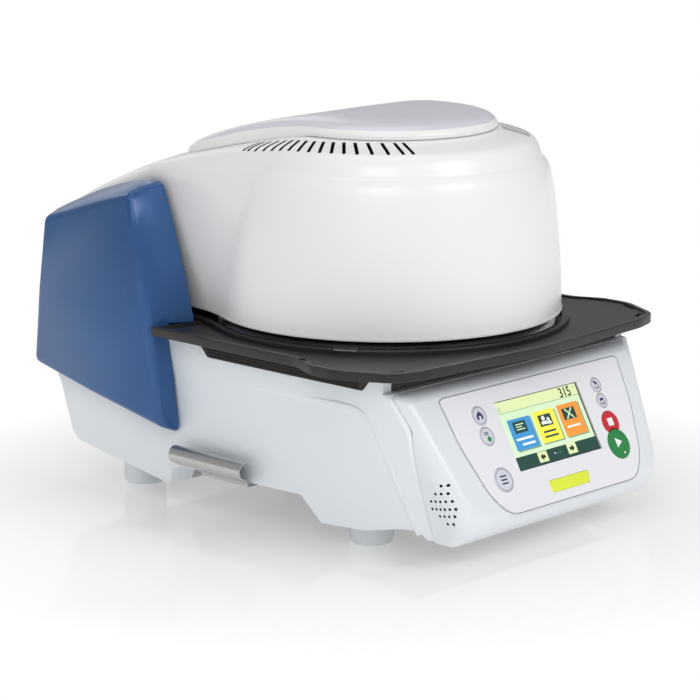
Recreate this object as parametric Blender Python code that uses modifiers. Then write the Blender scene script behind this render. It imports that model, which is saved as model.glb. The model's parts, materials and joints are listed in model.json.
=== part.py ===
"""Bench furnace for a dental lab, built as separate pieces.

Metres, +Z up, the front at -Y. The origin is on the bench under the middle of the furnace.
"""
import math

import bmesh
import bpy
from mathutils import Matrix, Vector

# Driving dimensions of the whole furnace
half_depth = 0.216
side_cover_half_width = 0.158
cover_stand = 0.016
casing_half_width = side_cover_half_width - cover_stand
deck_height = 0.145
head_centre_y = -0.025
hood_inset = 0.006
hood_radius = casing_half_width - hood_inset
hood_bottom = 0.160
hood_rise = 0.144
seam_setback = 0.096
seam_y = half_depth - seam_setback
hinge_setback = 0.031
hinge_y = half_depth - hinge_setback
hinge_z = 0.175
tilt_limit = 40.0

# Walls and clearances
shell_wall = 0.003
sheet = 0.0015
fit_gap = 0.0003
overrun = 0.010
weld = 0.00001

round_sides = 24
small_sides = 12

for thing in list(bpy.data.objects):
    bpy.data.objects.remove(thing, do_unlink=True)

pieces = bpy.data.collections.new("dental_lab_furnace")
cutters = bpy.data.collections.new("cutters")
bpy.context.scene.collection.children.link(pieces)
bpy.context.scene.collection.children.link(cutters)


def finish(name, colour, roughness, metallic=0.0):
    """A painted, moulded or bare surface as a Principled material."""
    made = bpy.data.materials.new(name)
    made.use_nodes = True
    shader = made.node_tree.nodes["Principled BSDF"]
    shader.inputs["Base Color"].default_value = (*colour, 1.0)
    shader.inputs["Roughness"].default_value = roughness
    shader.inputs["Metallic"].default_value = metallic
    made.diffuse_color = (*colour, 1.0)
    return made


def place(name, mesh, look):
    """Link a mesh as a piece, or as a cutter when it has no finish."""
    made = bpy.data.objects.new(name, mesh)
    if look is None:
        cutters.objects.link(made)
        made.hide_render = True
        made.display_type = "WIRE"
    else:
        pieces.objects.link(made)
        mesh.materials.append(look)
    return made


def turn_outward(bm):
    bmesh.ops.recalc_face_normals(bm, faces=bm.faces)
    if bm.calc_volume(signed=True) < 0:
        bmesh.ops.reverse_faces(bm, faces=bm.faces)


def from_bmesh(name, bm, look):
    mesh = bpy.data.meshes.new(name)
    turn_outward(bm)
    bm.to_mesh(mesh)
    bm.free()
    return place(name, mesh, look)


def box(name, low, high, look=None):
    bm = bmesh.new()
    bmesh.ops.create_cube(bm, size=1.0)
    size = Vector(high) - Vector(low)
    middle = (Vector(high) + Vector(low)) / 2
    bmesh.ops.scale(bm, vec=size, verts=bm.verts)
    bmesh.ops.translate(bm, vec=middle, verts=bm.verts)
    return from_bmesh(name, bm, look)


def rod(name, radius, start, end, look=None, sides=round_sides, end_radius=None):
    """A round bar, or a cone, from one point to another."""
    way = Vector(end) - Vector(start)
    bm = bmesh.new()
    bmesh.ops.create_cone(bm, cap_ends=True, segments=sides, radius1=radius,
                          radius2=radius if end_radius is None else end_radius, depth=way.length)
    turn = Vector((0, 0, 1)).rotation_difference(way).to_matrix().to_4x4()
    middle = Matrix.Translation((Vector(start) + Vector(end)) / 2)
    bmesh.ops.transform(bm, matrix=middle @ turn, verts=bm.verts)
    made = from_bmesh(name, bm, look)
    made.data.shade_smooth()
    made.data.set_sharp_from_angle(angle=math.radians(40))
    return made


def prism(name, outlines, axis, low, high, look=None):
    """Extrude one outline, or an outline with holes, along a world axis.

    An outline's two numbers are the other two axes in the order Y, Z for X; X, Z for Y; X, Y for Z.
    """
    if not isinstance(outlines[0][0], (tuple, list)):
        outlines = [outlines]
    curve = bpy.data.curves.new(name, "CURVE")
    curve.dimensions = "2D"
    curve.fill_mode = "BOTH"
    curve.extrude = (high - low) / 2
    for outline in outlines:
        line = curve.splines.new("POLY")
        line.points.add(len(outline) - 1)
        for spot, (a, b) in zip(line.points, outline):
            spot.co = (a, b, 0, 1)
        line.use_cyclic_u = True
    drawn = bpy.data.objects.new(name + "_curve", curve)
    cutters.objects.link(drawn)
    solid = drawn.evaluated_get(bpy.context.evaluated_depsgraph_get())
    mesh = bpy.data.meshes.new_from_object(solid)
    bpy.data.objects.remove(drawn, do_unlink=True)
    bm = bmesh.new()
    bm.from_mesh(mesh)
    bpy.data.meshes.remove(mesh)
    bmesh.ops.remove_doubles(bm, verts=bm.verts, dist=weld)
    bmesh.ops.dissolve_limit(bm, angle_limit=math.radians(0.1), verts=bm.verts, edges=bm.edges)
    for corner in bm.verts:
        a, b, along = corner.co
        along += (high + low) / 2
        if axis == "X":
            corner.co = (along, a, b)
        elif axis == "Y":
            corner.co = (a, along, b)
        else:
            corner.co = (a, b, along)
    return from_bmesh(name, bm, look)


def turned(name, profile, centre, look=None, steps=round_sides):
    """Turn a profile of (radius, height) about the vertical through the centre.

    A ring's profile is closed by joining its last spot to its first; a solid's one lies on the axis there.
    """
    area = sum(r1 * z2 - r2 * z1 for (r1, z1), (r2, z2) in zip(profile, profile[1:] + profile[:1]))
    if area > 0:
        profile = profile[::-1]
    bm = bmesh.new()
    spots = [bm.verts.new((r, 0, z)) for r, z in profile]
    for first, second in zip(spots, spots[1:]):
        bm.edges.new((first, second))
    if profile[0][0] > 0:
        bm.edges.new((spots[-1], spots[0]))
    mesh = bpy.data.meshes.new(name)
    bm.to_mesh(mesh)
    bm.free()
    made = place(name, mesh, look)
    made.location = centre
    screw = made.modifiers.new("turn", "SCREW")
    screw.axis = "Z"
    screw.steps = steps
    screw.render_steps = steps
    screw.use_merge_vertices = True
    screw.merge_threshold = weld
    return made


def cut(target, *tools):
    for tool in tools:
        step = target.modifiers.new("cut " + tool.name, "BOOLEAN")
        step.operation = "DIFFERENCE"
        step.solver = "EXACT"
        step.object = tool
    return target


def fuse(target, *tools):
    for tool in tools:
        step = target.modifiers.new("fuse " + tool.name, "BOOLEAN")
        step.operation = "UNION"
        step.solver = "EXACT"
        step.object = tool
    return target


def soften(target, width, segments=2, angle=30):
    """Round the edges that turn by more than the angle."""
    step = target.modifiers.new("soften", "BEVEL")
    step.width = width
    step.segments = segments
    step.limit_method = "ANGLE"
    step.angle_limit = math.radians(angle)
    step.use_clamp_overlap = True
    return target


def arc(centre, radius, start, end, steps):
    """Points on an arc, the angles in degrees from the first axis."""
    turns = [math.radians(start + (end - start) * i / steps) for i in range(steps + 1)]
    return [(centre[0] + radius * math.cos(t), centre[1] + radius * math.sin(t)) for t in turns]


def circle(centre, radius, steps=round_sides):
    return arc(centre, radius, 0, 360, steps)[:-1]


def rounded(points, radii, steps=3):
    """An outline with its corners rounded, one radius for all or one for each corner."""
    if not isinstance(radii, (list, tuple)):
        radii = [radii] * len(points)
    out = []
    for i, here in enumerate(points):
        spot = Vector(here)
        back = Vector(points[i - 1]) - spot
        ahead = Vector(points[(i + 1) % len(points)]) - spot
        half = back.angle(ahead) / 2
        reach = min(radii[i] / math.tan(half), back.length * 0.45, ahead.length * 0.45)
        if reach < weld:
            out.append(here)
            continue
        start = spot + back.normalized() * reach
        stop = spot + ahead.normalized() * reach
        for k in range(steps + 1):
            t = k / steps
            out.append(tuple(start * (1 - t) ** 2 + spot * 2 * t * (1 - t) + stop * t ** 2))
    return out


def inset(points, distance):
    """Move every side of an anticlockwise outline inward by one distance."""
    out = []
    for i, here in enumerate(points):
        before = (Vector(here) - Vector(points[i - 1])).normalized()
        after = (Vector(points[(i + 1) % len(points)]) - Vector(here)).normalized()
        left_before = Vector((-before.y, before.x))
        left_after = Vector((-after.y, after.x))
        middle = left_before + left_after
        out.append(tuple(Vector(here) + middle * distance / (1 + left_before.dot(left_after))))
    return out


def both_sides(half):
    """Close a half outline at X >= 0 with its mirror image."""
    other = [(-x, y) for x, y in reversed(half) if x > weld]
    return list(half) + other


def bezier(p0, p1, p2, p3, steps):
    out = []
    for k in range(steps + 1):
        t = k / steps
        s = 1 - t
        out.append(p0 * s ** 3 + p1 * 3 * s * s * t + p2 * 3 * s * t * t + p3 * t ** 3)
    return out


white = finish("white_gloss_moulding", (0.83, 0.84, 0.85), 0.25)
pale = finish("casing_blue_white", (0.72, 0.77, 0.80), 0.35)
silver_white = finish("top_cover_grey", (0.62, 0.62, 0.66), 0.30)
blue = finish("metallic_blue", (0.05, 0.12, 0.30), 0.30, 0.4)
black = finish("black_plate", (0.035, 0.033, 0.032), 0.45)
dark_mesh = finish("dark_grille", (0.02, 0.02, 0.02), 0.60)
rubber = finish("white_rubber", (0.65, 0.68, 0.70), 0.60)
steel = finish("brushed_steel", (0.60, 0.60, 0.60), 0.30, 1.0)
plated = finish("zinc_plated_sheet", (0.50, 0.51, 0.52), 0.40, 1.0)
brass = finish("brass", (0.60, 0.45, 0.18), 0.30, 1.0)
fibre = finish("ceramic_fibre", (0.80, 0.79, 0.76), 0.95)
firebrick = finish("firing_ceramic", (0.72, 0.66, 0.56), 0.85)
quartz = finish("milky_quartz", (0.75, 0.76, 0.78), 0.30)
heating_wire = finish("heating_wire", (0.16, 0.13, 0.11), 0.60, 0.8)
board_green = finish("board_green", (0.03, 0.22, 0.10), 0.45)
dark_plastic = finish("dark_plastic", (0.03, 0.03, 0.035), 0.50)
foil = finish("keypad_foil", (0.80, 0.82, 0.86), 0.30)
key_grey = finish("key_grey", (0.55, 0.56, 0.65), 0.35)
key_red = finish("key_red", (0.60, 0.03, 0.03), 0.35)
key_green = finish("key_green", (0.03, 0.30, 0.08), 0.35)
screen = finish("display", (0.35, 0.50, 0.25), 0.15)
light_bar = finish("status_light", (0.65, 0.70, 0.05), 0.30)

# Lower casing: one tall moulding, open at the back and underneath, with a notch in each side
casing_draft = 0.004
ground_clearance = 0.021
casing_edge_radius = 0.003
casing_outline_shares = [
    (-0.694, 1.000), (-0.694, 0.924), (-0.729, 0.917), (-0.796, 0.738), (-0.852, 0.476),
    (-0.887, 0.310), (-0.912, 0.221), (-0.694, 0.193), (-0.551, 0.148), (-0.375, 0.145),
    (-0.292, 0.276), (0.319, 0.262), (0.356, 0.243), (0.384, 0.145), (0.880, 0.262),
    (0.912, 0.310), (0.968, 0.579), (1.000, 0.648), (0.970, 0.671), (0.970, 1.000)]
casing_outline = [(y_share * half_depth, z_share * deck_height) for y_share, z_share in casing_outline_shares]


def face_outward(made):
    bm = bmesh.new()
    bm.from_mesh(made.data)
    turn_outward(bm)
    bm.to_mesh(made.data)
    bm.free()


def casing_side(z):
    """Half the width of the casing at a height: it draws in a little towards the bench."""
    return casing_half_width - casing_draft * (deck_height - z) / (deck_height - ground_clearance)


def casing_block(name, outline, grow, look=None):
    """The casing's outline carried across its width, its sides drawn in like the real ones."""
    block = prism(name, outline, "X", -1.0 * casing_half_width, casing_half_width, look)
    for corner in block.data.vertices:
        side = casing_side(corner.co.z) + grow
        corner.co.x = math.copysign(side, corner.co.x)
    return block


base_housing = casing_block("base_housing", casing_outline, 0, pale)
soften(base_housing, casing_edge_radius)

arch_depth = 0.002
arch_height = 0.1175
arch_outline_shares = [
    (0.0, 1.0), (-0.556, 1.0), (-0.620, 0.965), (-0.667, 0.880), (-0.700, 0.766),
    (-0.773, 0.545), (-0.850, 0.330), (-0.870, 0.100), (0.0, 0.100)]
arch_outline = [(y_share * half_depth, z_share * arch_height) for y_share, z_share in arch_outline_shares]
arch_length = 0.165
for side in (-1, 1):
    arch = prism("arch_cutter", arch_outline, "X", 0, casing_half_width)
    for corner in arch.data.vertices:
        inner = corner.co.x < casing_half_width / 2
        depth = arch_depth * min(1, -corner.co.y / arch_length)
        face = casing_side(corner.co.z) - depth if inner else casing_half_width + overrun
        corner.co.x = side * face
    face_outward(arch)
    cut(base_housing, arch)

cavity_outline = inset(casing_outline, shell_wall)
cut(base_housing, casing_block("casing_cavity", cavity_outline, -shell_wall))

rear_opening_low = 0.1035
rear_opening_half_width = casing_half_width - 2 * shell_wall
cut(base_housing, box("rear_opening", (-rear_opening_half_width, half_depth - 2 * overrun, rear_opening_low),
                      (rear_opening_half_width, half_depth + overrun, deck_height - shell_wall)))

# Where the vent grilles, the operating unit, the chamber and the bottom plate come through the casing
grille_low = 0.132
grille_rear_y = 0.044
grille_front_gap = 0.007
grille_front_y = casing_outline[0][0] + grille_front_gap
grille_slope = 0.012
grille_thickness = 0.0015
for side in (-1, 1):
    low_x, high_x = sorted((side * (casing_half_width - 2 * shell_wall), side * (casing_half_width + overrun)))
    opening = [(grille_rear_y - grille_slope, grille_low), (grille_rear_y, deck_height),
               (grille_rear_y, deck_height + overrun), (grille_front_y, deck_height + overrun),
               (grille_front_y, deck_height), (grille_front_y + grille_slope, grille_low)]
    cut(base_housing, prism("grille_opening", opening, "X", low_x, high_x))

neck_step = 0.027
neck_half_width = casing_half_width - neck_step
neck_front_y = casing_outline[0][0] - fit_gap * 2
for side in (-1, 1):
    low_x, high_x = sorted((side * neck_half_width, side * (casing_half_width + overrun)))
    cut(base_housing, box("neck_cutter", (low_x, -half_depth, casing_outline[1][1]),
                          (high_x, grille_front_y, deck_height + overrun)))

unit_window_step = 0.024
unit_window_half_width = casing_half_width - unit_window_step
unit_window_low = 0.045
unit_window_high = 0.122
cut(base_housing, box("unit_window", (-unit_window_half_width, -half_depth, unit_window_low),
                      (unit_window_half_width, neck_front_y, unit_window_high)))

insulation_margin = 0.038
insulation_radius = hood_radius - insulation_margin
cut(base_housing, rod("chamber_hole", insulation_radius + fit_gap * 2, (0, head_centre_y, deck_height - overrun),
                      (0, head_centre_y, deck_height + overrun)))

floor_step = 0.017
plate_half_width = casing_half_width - floor_step
underside = casing_outline[7:15]


def under_strip(name, half_width, low, high, end_gap, look=None):
    """A strip that follows the casing's underside, between two heights above it."""
    line = [(y, z) for y, z in underside]
    line[0] = (line[0][0] - end_gap, line[0][1])
    line[-1] = (line[-1][0] + end_gap, line[-1][1])
    outline = [(y, z + low) for y, z in line] + [(y, z + high) for y, z in reversed(line)]
    return prism(name, outline, "X", -half_width, half_width, look)


cut(base_housing, under_strip("floor_opening", plate_half_width, -overrun, shell_wall * 2, fit_gap))

# Bottom plate: folded steel sheet that closes the casing and carries the feet
base_plate = under_strip("base_plate", plate_half_width - fit_gap, 0, sheet, 0, plated)
vent_row = 6
vent_pitch = 0.022
vent_width = 0.004
vent_length = 0.060
for i in range(vent_row):
    x = (i - (vent_row - 1) / 2) * vent_pitch
    cut(base_plate, box("floor_vent", (x - vent_width / 2, -vent_length / 2, ground_clearance),
                        (x + vent_width / 2, vent_length / 2, 2.5 * ground_clearance)))

# Four round feet
foot_radius = 0.018
foot_inset = 0.053
foot_x = casing_half_width - foot_inset
foot_front_setback = 0.124
foot_front_y = foot_front_setback - half_depth
foot_rear_setback = 0.052
foot_rear_y = half_depth - foot_rear_setback
foot_edge = 0.0025
foot_tops = {"front": ground_clearance - fit_gap, "rear": 2 * ground_clearance}
foot_clearance = under_strip("foot_clearance", casing_half_width, -fit_gap, overrun * 2, 0)
for row, y in (("front", foot_front_y), ("rear", foot_rear_y)):
    for hand, side in (("left", -1), ("right", 1)):
        top = foot_tops[row]
        profile = [(0, top), (foot_radius - foot_edge / 2, top), (foot_radius, top - foot_edge),
                   (foot_radius - foot_edge / 2, foot_edge), (foot_radius - foot_edge, 0), (0, 0)]
        foot = turned(f"foot_{row}_{hand}", profile, (side * foot_x, y, 0), rubber, 24)
        if row == "rear":
            cut(foot, foot_clearance)

# Vent grilles: perforated dark sheet in the slots under the cooling plate
grille_rows = 1
grille_holes = 9
grille_border = 0.0018
grille_bar_share = 0.36


def vent_grille(name, side):
    """A perforated strip: the cells of a grid are left out where its holes are, and the rest thickened."""
    low = grille_low + fit_gap
    high = deck_height - fit_gap
    front = grille_front_y + grille_slope + fit_gap * 2
    rear = grille_rear_y - grille_slope - fit_gap * 2
    across = [0]
    for i in range(grille_holes):
        start = (i + grille_bar_share / 2) / grille_holes
        across += [start, start + (1 - grille_bar_share) / grille_holes]
    across.append(1)
    upward = [0]
    usable = high - low - 2 * grille_border
    for j in range(grille_rows):
        start = grille_border + usable * (j + grille_bar_share / 2) / grille_rows
        upward += [start, start + usable * (1 - grille_bar_share) / grille_rows]
    upward.append(high - low)
    bm = bmesh.new()
    grid = []
    for up in upward:
        lean = grille_slope * up / (high - low)
        row = []
        for share in across:
            y = front - lean + (rear + lean - (front - lean)) * share
            row.append(bm.verts.new((side * (casing_half_width - fit_gap), y, low + up)))
        grid.append(row)
    for j in range(len(upward) - 1):
        for i in range(len(across) - 1):
            if i % 2 == 1 and j % 2 == 1:
                continue
            bm.faces.new((grid[j][i], grid[j][i + 1], grid[j + 1][i + 1], grid[j + 1][i]))
    mesh = bpy.data.meshes.new(name)
    bm.to_mesh(mesh)
    bm.free()
    made = place(name, mesh, dark_mesh)
    thick = made.modifiers.new("thickness", "SOLIDIFY")
    thick.thickness = grille_thickness
    thick.offset = 1 if side < 0 else -1
    return made


vent_grille("vent_grille_left", -1)
vent_grille("vent_grille_right", 1)

# The head's plan: a round front that runs back into a neck between the side covers
waist_angle = 25
waist_pull_share = 0.22
neck_pull_share = 0.33


def head_plan(radius, rear_half, rear_y, waist, front_steps, side_steps):
    """Half a plan at X >= 0, from the front to the rear: an arc, then a side that may be waisted."""
    centre = Vector((0, head_centre_y))
    rear = Vector((rear_half, rear_y))
    way = rear - centre
    touch = math.degrees(math.atan2(way.y, way.x) - math.acos(min(1, radius / way.length)))
    last = touch + (waist_angle - touch) * waist
    front = [Vector(p) for p in arc(centre, radius, -90, last, front_steps)]
    start = front[-1]
    turn = math.radians(last)
    waisted_1 = start + Vector((-math.sin(turn), math.cos(turn))) * hood_radius * waist_pull_share
    waisted_2 = rear - Vector((0, hood_radius * neck_pull_share))
    straight_1 = start.lerp(rear, 1 / 3)
    straight_2 = start.lerp(rear, 2 / 3)
    side = bezier(start, straight_1.lerp(waisted_1, waist), straight_2.lerp(waisted_2, waist), rear, side_steps)
    return [tuple(p) for p in front + side[1:]]


def surface_between(name, rows, look):
    """A skin over rows of points at X >= 0 that each start and end on, or at one side of, X = 0."""
    bm = bmesh.new()
    made_rows = [[bm.verts.new(p) for p in row] for row in rows]
    for below, above in zip(made_rows, made_rows[1:]):
        for i in range(len(below) - 1):
            bm.faces.new((below[i], below[i + 1], above[i + 1], above[i]))
    bmesh.ops.remove_doubles(bm, verts=bm.verts, dist=weld)
    made = from_bmesh(name, bm, look)
    other_half = made.modifiers.new("other_half", "MIRROR")
    other_half.use_axis = (True, False, False)
    other_half.merge_threshold = weld
    return made


def thicken(target, wall):
    """Give a skin its wall, measured inward."""
    step = target.modifiers.new("wall", "SOLIDIFY")
    step.thickness = wall
    step.offset = -1
    step.use_even_offset = True
    return target


# Hood of the head: a moulded shell with a soft shoulder, open below and behind
hood_wall = 0.0025
hood_front_steps = 12
hood_side_steps = 5
# Each row: radius, front height, half width at the seam, height at the seam, how waisted
hood_shares = [
    (1.000, 0.000, 0.801, 0.000, 1.00), (0.995, 0.215, 0.835, 0.201, 0.85), (0.980, 0.417, 0.855, 0.375, 0.70),
    (0.941, 0.712, 0.868, 0.646, 0.40), (0.924, 0.778, 0.866, 0.701, 0.35), (0.900, 0.817, 0.860, 0.733, 0.30),
    (0.882, 0.8375, 0.851, 0.753, 0.25), (0.865, 0.882, 0.827, 0.788, 0.20), (0.838, 0.924, 0.787, 0.823, 0.15),
    (0.798, 0.946, 0.735, 0.846, 0.10), (0.713, 0.967, 0.603, 0.872, 0.00), (0.544, 0.997, 0.147, 0.905, 0.00)]
fall_power = 1.15


def fall(y, rear_y, power=fall_power):
    """How far along the run from the middle of the head to the rear a place is, eased."""
    along = (y - head_centre_y) / (rear_y - head_centre_y)
    return max(0, along) ** power


def hood_rows(shares, rear_y):
    rows = []
    for radius_share, front_share, half_share, rear_share, waist_share in shares:
        plan = head_plan(radius_share * hood_radius, half_share * hood_radius, rear_y, waist_share,
                         hood_front_steps, hood_side_steps)
        front_z = hood_bottom + front_share * hood_rise
        drop = (front_share - rear_share) * hood_rise
        rows.append([(x, y, front_z - drop * fall(y, rear_y)) for x, y in plan])
    return rows


head_axis = bpy.data.objects.new("head_axis", None)
pieces.objects.link(head_axis)
head_axis.location = (0, hinge_y, hinge_z)


def tilt_with_head(*group):
    """Hang pieces on the empty that stands on the head's hinge axis."""
    for made in group:
        made.parent = head_axis
        made.matrix_parent_inverse = Matrix.Translation((0, -hinge_y, -hinge_z))


hood_skin = hood_rows(hood_shares, seam_y)
hood_skin.append([(0, y, z) for x, y, z in hood_skin[-1]])
head_hood = surface_between("head_hood", hood_skin, white)
thicken(head_hood, hood_wall)
rear_sweep_radius = 0.103
cut(head_hood, rod("rear_sweep", rear_sweep_radius, (-hood_radius, hinge_y, hinge_z),
                   (hood_radius, hinge_y, hinge_z), sides=48))

slot_count = 16
slot_first_angle = 39.8
slot_pitch = 5.5
slot_width = 0.0022
slot_margin = 0.026
slot_length = 0.0225
slot_outer_radius = hood_radius - slot_margin
slot_inner_radius = slot_outer_radius - slot_length
slot_depth = 0.020
slot_high = hood_bottom + hood_rise + fit_gap
slot_low = slot_high - slot_depth
for side in (-1, 1):
    for i in range(slot_count):
        slot = box("hood_slot", (-slot_width / 2, -slot_outer_radius, slot_low),
                   (slot_width / 2, -slot_inner_radius, slot_high))
        slot.rotation_euler.z = side * math.radians(slot_first_angle + i * slot_pitch)
        slot.location.y = head_centre_y
        cut(head_hood, slot)
tilt_with_head(head_hood)

# Top cover of the hood: a shallow drop-shaped lid
lid_wall = 0.002
lid_tip_setback = 0.007
lid_tip_y = seam_y - lid_tip_setback
# Each row: radius, height at the front, length to the tip, height at the tip
lid_shares = [
    (0.618, 0.9912, 1.000, 0.9140), (0.624, 1.018, 1.010, 0.922), (0.603, 1.042, 0.980, 0.927),
    (0.544, 1.070, 0.920, 0.940), (0.412, 1.094, 0.780, 0.966), (0.235, 1.107, 0.530, 1.007)]
lid_tip_share = 0.30
lid_arc_end = 15
lid_side_pull = 0.5


def lid_plan(radius, tip_y):
    centre = Vector((0, head_centre_y))
    front = [Vector(p) for p in arc(centre, radius, -90, lid_arc_end, hood_front_steps)]
    start = front[-1]
    turn = math.radians(lid_arc_end)
    run = tip_y - start.y
    pull_1 = start + Vector((-math.sin(turn), math.cos(turn))) * run * lid_side_pull
    pull_2 = Vector((radius * lid_tip_share, tip_y))
    side = bezier(start, pull_1, pull_2, Vector((0, tip_y)), hood_side_steps + 2)
    return [tuple(p) for p in front + side[1:]]


lid_rows = []
for radius_share, front_share, tip_share, rear_share in lid_shares:
    plan = lid_plan(radius_share * hood_radius, tip_share * lid_tip_y)
    front_z = hood_bottom + front_share * hood_rise
    drop = (front_share - rear_share) * hood_rise
    lid_rows.append([(x, y, front_z - drop * fall(y, tip_share * lid_tip_y)) for x, y in plan])
crown_rise = 0.016
crown_z = hood_bottom + hood_rise + crown_rise
crown_line = [(0, y, crown_z - (crown_z - lid_rows[-1][-1][2]) * fall(y, lid_rows[-1][-1][1]) ** 1.2)
              for x, y, z in lid_rows[-1]]
lid_rows.append(crown_line)
hood_top_cover = surface_between("hood_top_cover", lid_rows, silver_white)
thicken(hood_top_cover, lid_wall)
tilt_with_head(hood_top_cover)

# Head flange, gasket and heating chamber
chamber_radius = 0.045
flange_thickness = 0.003
flange_low = hood_bottom + fit_gap
flange_radius = hood_radius - hood_wall - 2 * fit_gap
gasket_inner = 0.052
gasket_outer = 0.066
sealing_plate_top = 0.156
muffle_wall = 0.0045
insulation_outer = 0.085
insulation_low = flange_low + flange_thickness + fit_gap
insulation_high = 0.262
cap_high = 0.284
muffle_high = 0.246

head_centre = (0, head_centre_y, 0)
head_flange = turned("head_flange", [
    (chamber_radius, flange_low), (chamber_radius, flange_low + flange_thickness),
    (flange_radius, flange_low + flange_thickness), (flange_radius, flange_low)][::-1],
    head_centre, plated, 40)
head_gasket = turned("head_gasket", [
    (gasket_inner, sealing_plate_top + fit_gap), (gasket_inner, hood_bottom),
    (gasket_outer, hood_bottom), (gasket_outer, sealing_plate_top + fit_gap)][::-1],
    head_centre, fibre)
muffle = turned("muffle", [
    (chamber_radius, insulation_low), (chamber_radius, muffle_high),
    (chamber_radius + muffle_wall, muffle_high), (chamber_radius + muffle_wall, insulation_low)][::-1],
    head_centre, quartz)
bore = chamber_radius + muffle_wall + fit_gap
insulation_ring = turned("insulation_ring", [
    (bore, insulation_low), (bore, insulation_high), (insulation_outer, insulation_high),
    (insulation_outer, insulation_low)][::-1], head_centre, fibre)
probe_radius = 0.0015
probe_low = 0.236
cap_bore = probe_radius + fit_gap
cap_plug = 0.010
insulation_cap = turned("insulation_cap", [
    (cap_bore, insulation_high + fit_gap - cap_plug), (cap_bore, cap_high), (insulation_outer, cap_high),
    (insulation_outer, insulation_high + fit_gap), (bore - fit_gap * 2, insulation_high + fit_gap),
    (bore - fit_gap * 2, insulation_high + fit_gap - cap_plug)][::-1], head_centre, fibre)

# Heating coil: one unbroken wire wound inside the quartz muffle
coil_turns = 5
coil_wire = 0.0017
coil_radius = chamber_radius - coil_wire - fit_gap * 2
coil_low = 0.170
coil_high = 0.232
coil_points = 12
coil_curve = bpy.data.curves.new("heating_coil", "CURVE")
coil_curve.dimensions = "3D"
coil_curve.bevel_depth = coil_wire
coil_curve.bevel_resolution = 1
coil_curve.use_fill_caps = True
coil_curve.resolution_u = 1
coil_curve.render_resolution_u = 0
wire = coil_curve.splines.new("POLY")
wire.points.add(coil_turns * coil_points)
for i, spot in enumerate(wire.points):
    turn = 2 * math.pi * i / coil_points
    height = coil_low + (coil_high - coil_low) * i / (coil_turns * coil_points)
    spot.co = (coil_radius * math.cos(turn), coil_radius * math.sin(turn), height, 1)
coil_drawn = bpy.data.objects.new("coil_curve", coil_curve)
cutters.objects.link(coil_drawn)
coil_mesh = bpy.data.meshes.new_from_object(coil_drawn.evaluated_get(bpy.context.evaluated_depsgraph_get()))
bpy.data.objects.remove(coil_drawn, do_unlink=True)
bm = bmesh.new()
bm.from_mesh(coil_mesh)
bpy.data.meshes.remove(coil_mesh)
bmesh.ops.remove_doubles(bm, verts=bm.verts, dist=weld)
heating_coil = from_bmesh("heating_coil", bm, heating_wire)
heating_coil.location = head_centre

thermocouple = rod("thermocouple", probe_radius, (0, head_centre_y, probe_low),
                   (0, head_centre_y, cap_high + fit_gap), steel, 12)
terminal_radius = 0.007
terminal_high = cap_high + fit_gap + 0.5 * terminal_radius
fuse(thermocouple, rod("probe_terminal", terminal_radius, (0, head_centre_y, cap_high + fit_gap),
                       (0, head_centre_y, terminal_high + terminal_radius), sides=small_sides))
tilt_with_head(head_flange, head_gasket, muffle, insulation_ring, insulation_cap, heating_coil, thermocouple)

# Hinge: a shaft across the rear, two arms that carry the head, and two brackets with bores
shaft_radius = 0.006
shaft_end = 0.006
arm_gap = 0.014
arm_thickness = 0.005
arm_clearance = 0.0313
bracket_inset = 0.048
bracket_x = casing_half_width - bracket_inset
arm_x = bracket_x - arm_gap
arm_front_y = head_centre_y + math.sqrt(max(0, insulation_outer ** 2 - arm_x ** 2)) + arm_clearance
arm_low = flange_low + flange_thickness + fit_gap
arm_high = 0.186
arm_eye_radius = 0.0112
bracket_thickness = 0.004
shaft_half_length = bracket_x + shaft_end
bracket_reach = 0.021
bracket_rear_y = hinge_y + bracket_reach
bracket_length = 0.046
bracket_front_y = bracket_rear_y - bracket_length
bracket_foot = 0.016

hinge_shaft = rod("hinge_shaft", shaft_radius, (-shaft_half_length, hinge_y, hinge_z),
                  (shaft_half_length, hinge_y, hinge_z), steel, 24)
bracket_bore = rod("bracket_bore", shaft_radius + fit_gap * 1.2, (-shaft_half_length - overrun, hinge_y, hinge_z),
                   (shaft_half_length + overrun, hinge_y, hinge_z), sides=24)
eye = arc((hinge_y, hinge_z), arm_eye_radius, -100, 100, 8)
arm_outline = [(arm_front_y, arm_low)] + eye + [
    (arm_front_y + arm_eye_radius, arm_high), (arm_front_y, arm_low + arm_thickness)]
for hand, side in (("left", -1), ("right", 1)):
    low_x, high_x = sorted((side * arm_x, side * (arm_x + arm_thickness)))
    arm = prism(f"hinge_arm_{hand}", arm_outline, "X", low_x, high_x, plated)
    cut(arm, bracket_bore)
    tilt_with_head(arm)

    low_x, high_x = sorted((side * bracket_x, side * (bracket_x + bracket_thickness)))
    upright = [(bracket_front_y, deck_height + fit_gap), (bracket_rear_y, deck_height + fit_gap)]
    upright += arc((hinge_y, hinge_z), arm_eye_radius, 0, 180, 8)
    bracket = prism(f"hinge_bracket_{hand}", upright, "X", low_x, high_x, plated)
    foot_low, foot_high = sorted((side * bracket_x, side * (bracket_x + bracket_thickness + bracket_foot)))
    fuse(bracket, box("bracket_foot", (foot_low, bracket_front_y, deck_height + fit_gap),
                      (foot_high, bracket_rear_y, deck_height + fit_gap + bracket_thickness)))
    cut(bracket, bracket_bore)
tilt_with_head(hinge_shaft)

# Drive: a toothed sector on the shaft, turned by a pinion on a geared motor
tooth_module = 0.0015
sector_teeth = 32
pinion_teeth = 12
sector_width = 0.008
pinion_width = 0.010
drive_gap = 0.060
drive_x = arm_x - drive_gap
mesh_angle = 205.0
sector_margin = 14.0
tooth_tip_share = 0.26
tooth_pitch_share = 0.42
tooth_root_share = 0.58
addendum_share = 0.90
dedendum_share = 1.20


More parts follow.
